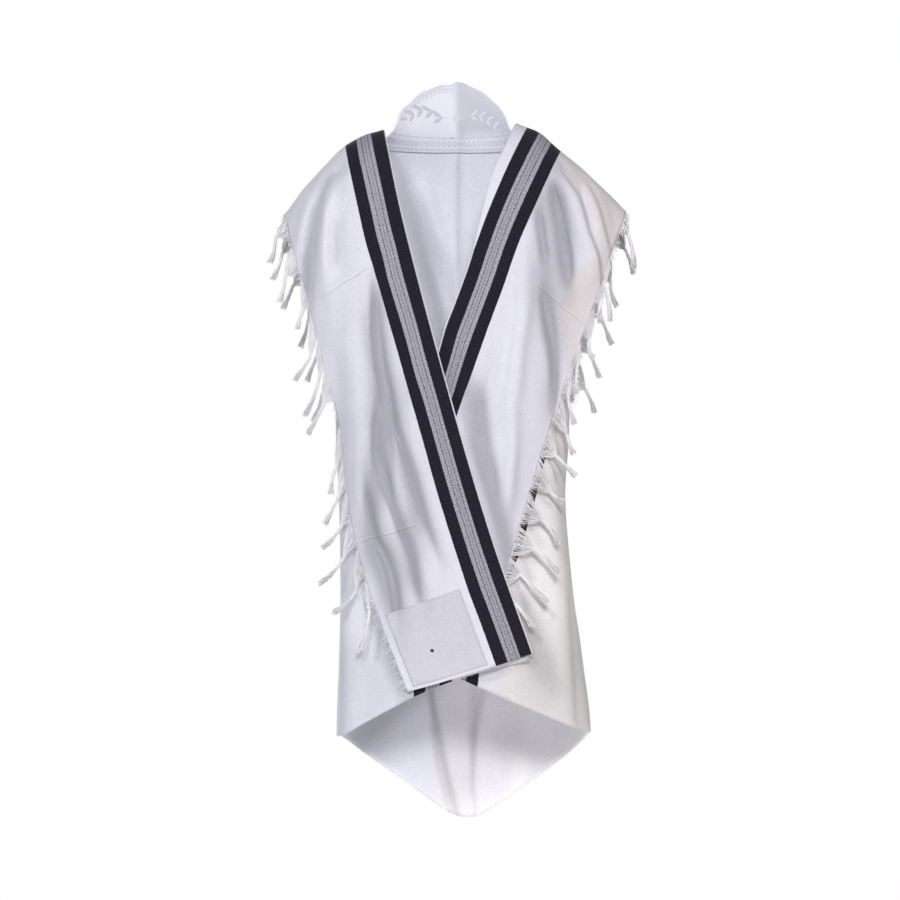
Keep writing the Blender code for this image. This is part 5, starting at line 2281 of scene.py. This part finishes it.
    @staticmethod
    def link(centre: float, level: float, half_width: float, half_height: float) -> list[Array]:
        """Outline one lozenge of a chain, as two bent strips.

        Args:
            centre: Angle of its middle.
            level: Height of its middle above the foot.
            half_width: Half its width, as an angle.
            half_height: Half its height.

        Returns:
            The outlines of the upper and the lower strip.
        """
        strips = []
        for flip in (-1.0, 1.0):
            t = np.linspace(-1.0, 1.0, 7)
            outer = np.stack([centre + t * half_width, level + flip * half_height * (1 - abs(t))], axis=-1)
            inside = level + flip * half_height * 0.62 * (1 - abs(t))
            inner = np.stack([centre + t * half_width * 0.72, inside], axis=-1)
            strips.append(np.concatenate([outer, inner[::-1]]))
        return strips

    @staticmethod
    def leaves() -> list[Leaf]:
        """The leaves, petals and dots."""
        leaves = []
        sprays = {
            -1.0: ((0.024, 0.061), (0.039, 0.071), (0.055, 0.074), (0.071, 0.067)),
            1.0: ((0.024, 0.064), (0.039, 0.063), (0.054, 0.056), (0.069, 0.047)),
        }
        for side, reach in ((-1.0, 1.32), (1.0, 1.05)):
            for k, (out, up) in enumerate(sprays[side]):
                base = 180.0 if side < 0 else 0.0
                for spread, length in ((38.0, 0.017), (-34.0, 0.013)):
                    heading = base + side * (spread - 10.0 * k)
                    leaves.append(Leaf(side * out, up, heading, length * reach, 0.0046 * reach))
                leaves.append(Leaf(side * out, up - 0.001, base + side * -8.0, 0.012, 0.0012))
            tip = sprays[side][-1]
            heading = 90.0 + side * -100.0
            leaves.append(Leaf(side * (tip[0] + 0.012), tip[1] - 0.010, heading, 0.015 * reach, 0.0055))
        for k in range(8):
            leaves.append(Leaf(-0.001, 0.0600, 45.0 * k + 10.0, 0.0078, 0.0025))
        for k in range(4):
            leaves.append(Leaf(0.0100 + 0.0042 * k, 0.0600 + 0.0010 * k, 90.0, 0.0024, 0.0022))
            leaves.append(Leaf(-0.0110 - 0.0042 * k, 0.0600, 90.0, 0.0024, 0.0022))
        return leaves


# ---- corner patches ----


@dataclass
class CornerPatch:
    """A square of cloth sewn on a corner, with stitched borders and a worked eyelet."""

    end: FoldedEnd
    face: Face
    wall: float = 0.0009
    top: float = 0.138
    hem: float = 0.006
    inner_share: float = 0.345
    outer_share: float = 0.945
    gap: float = 0.0017
    columns: int = 30
    rows: int = 34
    inset: float = 0.045            # share from an edge to its row of stitches
    second_row: float = 0.085       # the same for the second row of the two upright edges
    eyelet_across: float = 0.60     # share of the patch from its inner edge
    eyelet_down: float = 0.62
    eyelet_radius: float = 0.0022
    warm: float = 0.15              # share of painted warm light on its white
    tone: float = 0.44              # a little darker than the smooth cloth round it

    @property
    def name(self) -> str:
        """Name of the patch's node."""
        return f"corner_patch_{self.end.side.label}_{self.face.label}"

    def point(self, across: Array, down: Array, lift: float = 0.0) -> Array:
        """Places on the patch.

        Args:
            across: Shares from its inner edge to its outer edge.
            down: Shares from its top to its foot.
            lift: How far the places stand off it.

        Returns:
            Places, with one more axis of 3.
        """
        total = self.end.length(self.end.inner[self.face])
        arc = total - mix(self.top, self.hem, np.asarray(down))
        share = mix(self.inner_share, self.outer_share, np.asarray(across))
        step = 0.002
        here = self.end.surface(self.face, arc, share)
        side = self.end.surface(self.face, arc, share + step) - here
        below = self.end.surface(self.face, arc + step, share) - here
        normal = unit(np.cross(side, below))
        normal = normal * np.sign(normal[..., 1:2] * self.face.value)
        return here + normal * (self.gap + lift)

    def cut(self) -> tuple[float, float]:
        """Width and height of the flat patch, across its middle."""
        row = self.point(np.linspace(0.0, 1.0, 30), np.full(30, 0.5))
        return float(run_of(row)[-1]), self.top - self.hem

    def build(self, finishes: Finishes, tools: Toolbox) -> list[Object]:
        """Build the patch, its stitches and its eyelet.

        Args:
            finishes: The materials.
            tools: The geometry tools.

        Returns:
            The patch and what is sewn on it.
        """
        across = np.linspace(0.0, 1.0, self.columns + 1)[None, :]
        down = np.linspace(0.0, 1.0, self.rows + 1)[:, None]
        points = self.point(across, down)
        chart, name = chart_of(points), self.name + "_cloth"
        patch = cloth_piece(name, points, chart, self.wall, finishes.plain, self.warm, self.tone)
        walk = np.linspace(self.inset / 2.0, 1.0 - self.inset / 2.0, 30)
        flat = np.full(30, 1.0)
        lift = self.wall / 2.0 + 0.0002
        sides = (self.inset, self.second_row, 1.0 - self.inset, 1.0 - self.second_row)
        rows = [self.point(flat * share, walk, lift) for share in sides]
        rows += [self.point(walk, flat * share, lift) for share in (self.inset, 1.0 - self.inset)]
        lines = line_mesh(self.name + "_seams", [{"points": row} for row in rows])
        stitches = tools.stitches.apply(self.name + "_stitches", lines, {"Material": finishes.thread})
        return [patch, stitches, self.eyelet(finishes, tools)]

    def eyelet(self, finishes: Finishes, tools: Toolbox) -> Object:
        """Work the eyelet: dark thread wound in two rings, one inside the other.

        Args:
            finishes: The materials.
            tools: The geometry tools.

        Returns:
            The wound thread.
        """
        angle = np.linspace(0.0, 2.0 * math.pi, 17)
        wide = (self.outer_share - self.inner_share) * 0.22
        tall = self.top - self.hem
        spots = []
        for radius in (self.eyelet_radius, self.eyelet_radius * 0.45):
            across = self.eyelet_across + radius * np.cos(angle) / wide
            down = self.eyelet_down + radius * np.sin(angle) / tall
            spots.append(self.point(across, down, self.wall / 2.0 + 0.0003))
        lines = line_mesh(self.name + "_rim", [{"points": spot, RUN: run_of(spot)} for spot in spots])
        values = {
            "Yarns": 2,
            "Yarn Radius": 0.0006,
            "Sides": 5,
            "Start Spread": 0.0004,
            "End Spread": 0.0004,
            "Turns per Metre": 300.0,
            "Material": finishes.dark_thread,
        }
        return tools.strands.apply(self.name + "_eyelet", lines, values)


# ---- fringe ----


@dataclass(frozen=True)
class Tassel:
    """One tassel: where it leaves the edge, and how far its knot and its tip lie out and below."""

    arc: float
    knot_out: float
    knot_down: float
    tip_out: float
    tip_down: float


@dataclass
class Fringe:
    """A row of tassels along one stretch of a fringed edge."""

    end: FoldedEnd
    face: Face
    tassels: tuple[Tassel, ...]
    seed: int = 5
    web_width: float = 0.054
    web_yarns: int = 44
    stand: float = 0.005            # how far a knot stands off the cloth behind it
    droop: float = 0.45             # how much the hairs of the edge hang down
    tuft_start: float = 0.26        # share of the way from knot to tip
    yarn: float = 0.00055
    ply: float = 0.0016
    spine_steps: int = 34
    sag: float = 0.004              # how far a tassel's middle hangs below its straight line
    sway: float = 0.009             # the most that it swings aside
    hair: float = 0.0170
    hair_radius: float = 0.0005
    hair_spacing: float = 0.0011

    @property
    def name(self) -> str:
        """Name of the fringe's node."""
        return f"fringe_{self.end.side.label}_{self.face.label}"

    def build(self, finishes: Finishes, tools: Toolbox) -> Object:
        """Build the webs, cords, knots and tufts.

        Args:
            finishes: The materials.
            tools: The geometry tools.

        Returns:
            One mesh with the whole row.
        """
        places, ways = self.end.fringed_edge(self.face)
        edge, out = Path(run_of(places), places), Path(run_of(places), ways)
        chance = np.random.default_rng(self.seed)
        webs, cords, knots, tufts = [], [], [], []
        for tassel in self.tassels:
            knot, tip = self.ends(tassel, edge, out)
            webs.extend(self.web(tassel, edge, out, knot, chance))
            t = np.linspace(0.0, 1.0, self.spine_steps)[:, None]
            middle = (knot + tip) / 2.0 + np.array([chance.uniform(-self.sway, self.sway), 0.0, -self.sag])
            spine = knot * (1 - t) ** 2 + 2.0 * middle * t * (1 - t) + tip * t * t
            turn = int(self.spine_steps * self.tuft_start)
            cords.append({"points": spine[: turn + 1], RUN: run_of(spine[: turn + 1])})
            knots.extend(self.knot(spine, place) for place in (1, turn))
            tufts.append({"points": spine[turn::3], RUN: run_of(spine[turn::3])})
        base = {"Material": finishes.yarn, "Seed": self.seed}
        parts = [
            tools.strands.apply("webs", line_mesh("webs", webs), base | {
                "Yarns": 1, "Yarn Radius": self.yarn, "Sides": 4, "Start Spread": 0.0,
                "End Spread": 0.0008, "Looseness": 1.0, "Wander": 0.0050}),
            tools.strands.apply("cords", line_mesh("cords", cords), base | {
                "Yarns": 3, "Yarn Radius": self.ply, "Sides": 6, "Start Spread": self.ply,
                "End Spread": self.ply, "Turns per Metre": 75.0}),
            tools.strands.apply("knots", line_mesh("knots", knots), base | {
                "Yarns": 1, "Yarn Radius": 0.0012, "Sides": 5, "Start Spread": 0.0,
                "End Spread": 0.0}),
            tools.strands.apply("tufts", line_mesh("tufts", tufts), base | {
                "Yarns": 60, "Yarn Radius": self.yarn, "Sides": 3, "Start Spread": 0.0018,
                "End Spread": 0.0056, "Turns per Metre": 9.0, "Looseness": 1.0, "Wander": 0.007,
                "Ragged": 0.22}),
        ]
        middle = slice(2, -2)
        fall = unit(unit(ways[middle]) + np.array([0.0, 0.0, -self.droop]))
        edge_line = {"points": places[middle], OUTWARD: fall}
        parts.append(tools.hairs.apply("edge_hairs", line_mesh("raw_edge", [edge_line]), {
            "Spacing": self.hair_spacing, "Hair Length": self.hair, "Hair Radius": self.hair_radius,
            "Scatter": 0.6, "Seed": self.seed, "Material": finishes.yarn}))
        return joined(self.name + "_yarn", parts)

    def ends(self, tassel: Tassel, edge: Path, out: Path) -> tuple[Array, Array]:
        """Places of a tassel's knot and tip.

        Args:
            tassel: The tassel.
            edge: Places along the edge.
            out: The way out of the cloth along the edge.

        Returns:
            The knot and the tip.
        """
        root, way = edge(tassel.arc), out(tassel.arc)
        sign = self.end.side.value
        back = min(1.2, abs(way[1]) / max(0.2, abs(way[0]))) * -self.face.value
        spots = []
        for across, down, stand in (
            (tassel.knot_out, tassel.knot_down, self.stand),
            (tassel.tip_out, tassel.tip_down, self.stand * 1.8),
        ):
            deep = self.face.value * stand + back * max(0.0, across) * 0.6
            spots.append(root + np.array([sign * across, deep, -down]))
        return spots[0], spots[1]

    def web(
        self, tassel: Tassel, edge: Path, out: Path, knot: Array, chance: np.random.Generator
    ) -> list[dict[str, Array]]:
        """Yarns that gather from the cloth's edge into one tassel's knot.

        Args:
            tassel: The tassel.
            edge: Places along the edge.
            out: The way out of the cloth along the edge.
            knot: Place of the knot.
            chance: Source of their differences.

        Returns:
            One line for each yarn.
        """
        lines = []
        t = np.linspace(0.0, 1.0, 7)[:, None]
        for share in np.linspace(-0.5, 0.5, self.web_yarns):
            arc = max(0.001, tassel.arc + share * self.web_width + chance.uniform(-0.0006, 0.0006))
            way = unit(out(arc))
            start = edge(arc) - way * 0.002
            bend = mix(start + way * 0.012, knot, 0.25 + 0.1 * chance.uniform())
            bend = bend + chance.normal(0.0, 0.0034, 3)
            points = start * (1 - t) ** 2 + 2.0 * bend * t * (1 - t) + knot * t * t
            lines.append({"points": points, RUN: run_of(points)})
        return lines

    @staticmethod
    def knot(spine: Array, place: int) -> dict[str, Array]:
        """Turns of yarn wound round one place of the spine.

        Args:
            spine: Middle line of the tassel.
            place: Index of the place.

        Returns:
            One line.
        """
        axis = unit(spine[place + 1] - spine[place - 1])
        first = unit(np.cross(axis, np.array([0.3, 1.0, 0.2])))
        second = np.cross(axis, first)
        angle = np.linspace(0.0, 2.0 * math.pi * 2.5, 26)
        rise = (angle / angle[-1] - 0.5) * 0.0040
        points = (
            spine[place]
            + first * 0.0024 * np.cos(angle)[:, None]
            + second * 0.0024 * np.sin(angle)[:, None]
            + axis * rise[:, None]
        )
        return {"points": points, RUN: run_of(points)}


class Path:
    """A path through space, read at a distance along it."""

    def __init__(self, run: Array, places: Array) -> None:
        """Keep the distances and the places."""
        self.run, self.places = run, places

    def __call__(self, distance: float) -> Array:
        """Place at a distance, straight between the points."""
        return np.array([np.interp(distance, self.run, self.places[:, i]) for i in range(3)])


FRONT_TASSELS = {
    Side.LEFT: (
        Tassel(0.045, 0.021, 0.017, 0.033, 0.067), Tassel(0.115, 0.019, 0.028, 0.030, 0.077),
        Tassel(0.175, 0.004, 0.031, 0.013, 0.067), Tassel(0.235, 0.006, 0.056, 0.036, 0.098),
        Tassel(0.290, 0.004, 0.035, 0.034, 0.109), Tassel(0.345, 0.012, 0.034, 0.042, 0.088),
        Tassel(0.445, 0.011, 0.048, 0.018, 0.093), Tassel(0.500, 0.010, 0.041, 0.036, 0.093),
        Tassel(0.555, 0.012, 0.038, 0.050, 0.080), Tassel(0.600, 0.017, 0.052, 0.064, 0.099),
        Tassel(0.660, 0.008, 0.052, 0.052, 0.093), Tassel(0.715, 0.000, 0.034, 0.019, 0.109),
    ),
    Side.RIGHT: (
        Tassel(0.040, 0.008, 0.028, 0.018, 0.088), Tassel(0.145, -0.003, 0.031, 0.006, 0.095),
        Tassel(0.190, 0.004, 0.021, 0.004, 0.059), Tassel(0.245, 0.001, 0.039, 0.011, 0.068),
        Tassel(0.310, 0.004, 0.027, 0.002, 0.071), Tassel(0.355, 0.003, 0.037, 0.014, 0.081),
        Tassel(0.410, 0.019, 0.046, 0.033, 0.080), Tassel(0.475, 0.021, 0.025, 0.055, 0.061),
        Tassel(0.530, 0.028, 0.037, 0.052, 0.054), Tassel(0.595, 0.031, 0.021, 0.060, 0.062),
        Tassel(0.655, 0.036, 0.013, 0.077, 0.056), Tassel(0.710, 0.026, 0.004, 0.074, 0.055),
        Tassel(0.760, 0.031, 0.006, 0.062, 0.048),
    ),
}


def back_tassels(count: int, first: float, last: float, seed: int) -> tuple[Tassel, ...]:
    """Tassels at an even pitch behind the shoulder, each hanging a little differently.

    Args:
        count: How many.
        first: Where the stretch starts, along the edge.
        last: Where it ends.
        seed: Seed of their differences.

    Returns:
        The tassels.
    """
    chance = np.random.default_rng(seed)
    pitch = (last - first) / count
    rows = []
    for k in range(count):
        swing = 0.030 + chance.uniform(-0.010, 0.010)
        drop = 0.080 + chance.uniform(-0.008, 0.008)
        rows.append(Tassel(first + (k + 0.5) * pitch, swing * 0.5, drop * 0.38, swing, drop))
    return tuple(rows)


# ---- studio ----


@dataclass(frozen=True)
class SoftBox:
    """A large soft lamp that faces the shawl."""

    name: str
    place: tuple[float, float, float]
    size: float
    power: float
    colour: tuple[float, float, float]

    def build(self, target: tuple[float, float, float] = (0.0, 0.0, -0.55)) -> None:
        """Add the lamp.

        Args:
            target: Place that it faces.
        """
        data = bpy.data.lights.new(self.name, "AREA")
        data.shape = "DISK"
        data.size = self.size
        data.energy = self.power
        data.color = self.colour
        lamp = bpy.data.objects.new(self.name, data)
        lamp.location = self.place
        lamp.rotation_euler = (Vector(target) - Vector(self.place)).to_track_quat("-Z", "Y").to_euler()
        bpy.context.scene.collection.objects.link(lamp)


@dataclass
class Studio:
    """Floor, soft lamps, pale surroundings and the camera."""

    floor_height: float = -1.48
    floor_radius: float = 1.1
    world_light: float = 0.09
    camera_place: tuple[float, float, float] = (-0.0142, -4.2, -0.549)
    view_width: float = 1.593       # width seen at the shoulders' plane
    sensor: float = 36.0
    lamps: tuple[SoftBox, ...] = (
        SoftBox("key", (-0.90, -3.10, 1.20), 0.5, 34.0, (0.97, 0.97, 1.0)),
        SoftBox("side", (-2.80, -1.30, 0.38), 0.4, 19.0, (0.96, 0.96, 1.0)),
        SoftBox("front", (0.3, -4.4, 1.0), 0.8, 106.0, (0.98, 0.975, 1.0)),
        SoftBox("warm", (2.6, -1.6, 0.1), 1.0, 21.0, (1.0, 0.93, 0.90)),
        SoftBox("rear", (-1.2, 3.4, 0.6), 2.4, 85.0, (0.97, 0.97, 1.0)),
    )

    def build(self) -> None:
        """Set the camera, the surroundings, the floor and the lamps."""
        self.camera()
        self.surroundings()
        self.floor()
        for lamp in self.lamps:
            lamp.build()
        bpy.context.scene.view_settings.view_transform = "Standard"

    def camera(self) -> None:
        """Add the camera, level and square to the front."""
        data = bpy.data.cameras.new("camera")
        data.sensor_width = self.sensor
        data.lens = self.sensor * abs(self.camera_place[1]) / self.view_width
        data.dof.use_dof = False
        camera = bpy.data.objects.new("camera", data)
        camera.location = self.camera_place
        camera.rotation_euler = (math.pi / 2.0, 0.0, 0.0)
        bpy.context.scene.collection.objects.link(camera)
        bpy.context.scene.camera = camera

    def surroundings(self) -> None:
        """Light everything evenly, on a white ground."""
        world = bpy.data.worlds.new("studio")
        world.use_nodes = True
        bpy.context.scene.world = world
        sheet = NodeSheet(world.node_tree)
        nodes = world.node_tree.nodes
        light = nodes["Background"]
        light.inputs["Color"].default_value = (0.97, 0.97, 1.0, 1.0)
        light.inputs["Strength"].default_value = self.world_light
        ground = sheet.add("ShaderNodeBackground", {"Color": (1.0, 1.0, 1.0, 1.0), "Strength": 1.0})
        seen = sheet.add("ShaderNodeLightPath").outputs["Is Camera Ray"]
        both = sheet.add("ShaderNodeMixShader", {0: seen, 1: light.outputs[0], 2: ground.outputs[0]})
        sheet.set(nodes["World Output"].inputs[0], both.outputs[0])

    def floor(self) -> None:
        """Add the plain pale floor."""
        maker = bmesh.new()
        bmesh.ops.create_circle(maker, cap_ends=True, segments=96, radius=self.floor_radius)
        bmesh.ops.translate(maker, verts=maker.verts, vec=(0.0, 0.0, self.floor_height))
        mesh = bpy.data.meshes.new("floor")
        maker.to_mesh(mesh)
        maker.free()
        material, sheet, shader = new_material("pale_floor")
        place = sheet.add("ShaderNodeTexCoord").outputs["Object"]
        cloud = sheet.ramp(sheet.noise(place, 3.0, 2.0), 0.3, 0.7, 0.93, 0.95)
        sheet.fill(shader, {
            "Base Color": sheet.scaled((1.0, 1.0, 1.0), cloud), "Roughness": 0.9,
            "Specular IOR Level": 0.1, "Emission Color": (1.0, 1.0, 1.0, 1.0), "Emission Strength": 0.60})
        mesh.materials.append(material)
        add_object("floor", mesh)


# ---- the whole shawl ----


def belongs(piece: Object, nodes: Sequence[str] = ()) -> None:
    """Make a piece ride on the body and stand for its nodes.

    Args:
        piece: The finished piece.
        nodes: Nodes that it replaces.
    """
    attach(piece, ROOT)
    if nodes:
        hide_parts(*nodes)
    LOG.info("%s: %d faces", piece.name, len(piece.data.polygons))


def dress_cape(cape: Cape, finishes: Finishes, tools: Toolbox) -> None:
    """Build the cape and put its pieces in place of the imported ones.

    Args:
        cape: The cape.
        finishes: The materials.
        tools: The geometry tools.
    """
    cloth, hairs = cape.build(finishes, tools)
    belongs(cloth, ("back", "front_left", "front_right"))
    belongs(hairs)


def dress_end(end: FoldedEnd, finishes: Finishes, tools: Toolbox, rows: dict[Face, tuple]) -> None:
    """Build one folded end with its fringe and patches, in place of the imported ones.

    Args:
        end: The folded end.
        finishes: The materials.
        tools: The geometry tools.
        rows: The tassels of each face.
    """
    cloth = end.build(finishes)
    belongs(cloth, ("flap_" + end.side.label,))
    for seed, (face, tassels) in enumerate(rows.items(), start=11 if end.side is Side.LEFT else 31):
        fringe = Fringe(end, face, tassels, seed=seed)
        piece = fringe.build(finishes, tools)
        belongs(piece, (fringe.name,))
    for face in Face:
        patch = CornerPatch(end, face)
        piece, stitches, eyelet = patch.build(finishes, tools)
        belongs(piece, (patch.name,))
        belongs(stitches)
        belongs(eyelet)
        patch.cut()


def dress_neckband(neckband: Neckband, finishes: Finishes, tools: Toolbox) -> None:
    """Build the neckband, its satin in place of the imported one.

    Args:
        neckband: The neckband.
        finishes: The materials.
        tools: The geometry tools.
    """
    satin, figures, stitches = neckband.build(finishes, tools)
    belongs(satin, ("atarah",))
    belongs(figures)
    belongs(stitches)


def main() -> None:
    """Build the studio and every piece of the shawl."""
    logging.basicConfig(level=logging.INFO, format="%(message)s")
    Studio().build()
    finishes, tools, form = Finishes(), Toolbox(), Form()
    cape = Cape(form)
    dress_cape(cape, finishes, tools)
    for end in (left_end(form), right_end(form)):
        seed = 4 if end.side is Side.LEFT else 6
        rows = {Face.FRONT: FRONT_TASSELS[end.side], Face.BACK: back_tassels(5, 0.030, 0.370, seed)}
        dress_end(end, finishes, tools, rows)
    dress_neckband(Neckband(cape), finishes, tools)


if __name__ == "__main__":
    main()
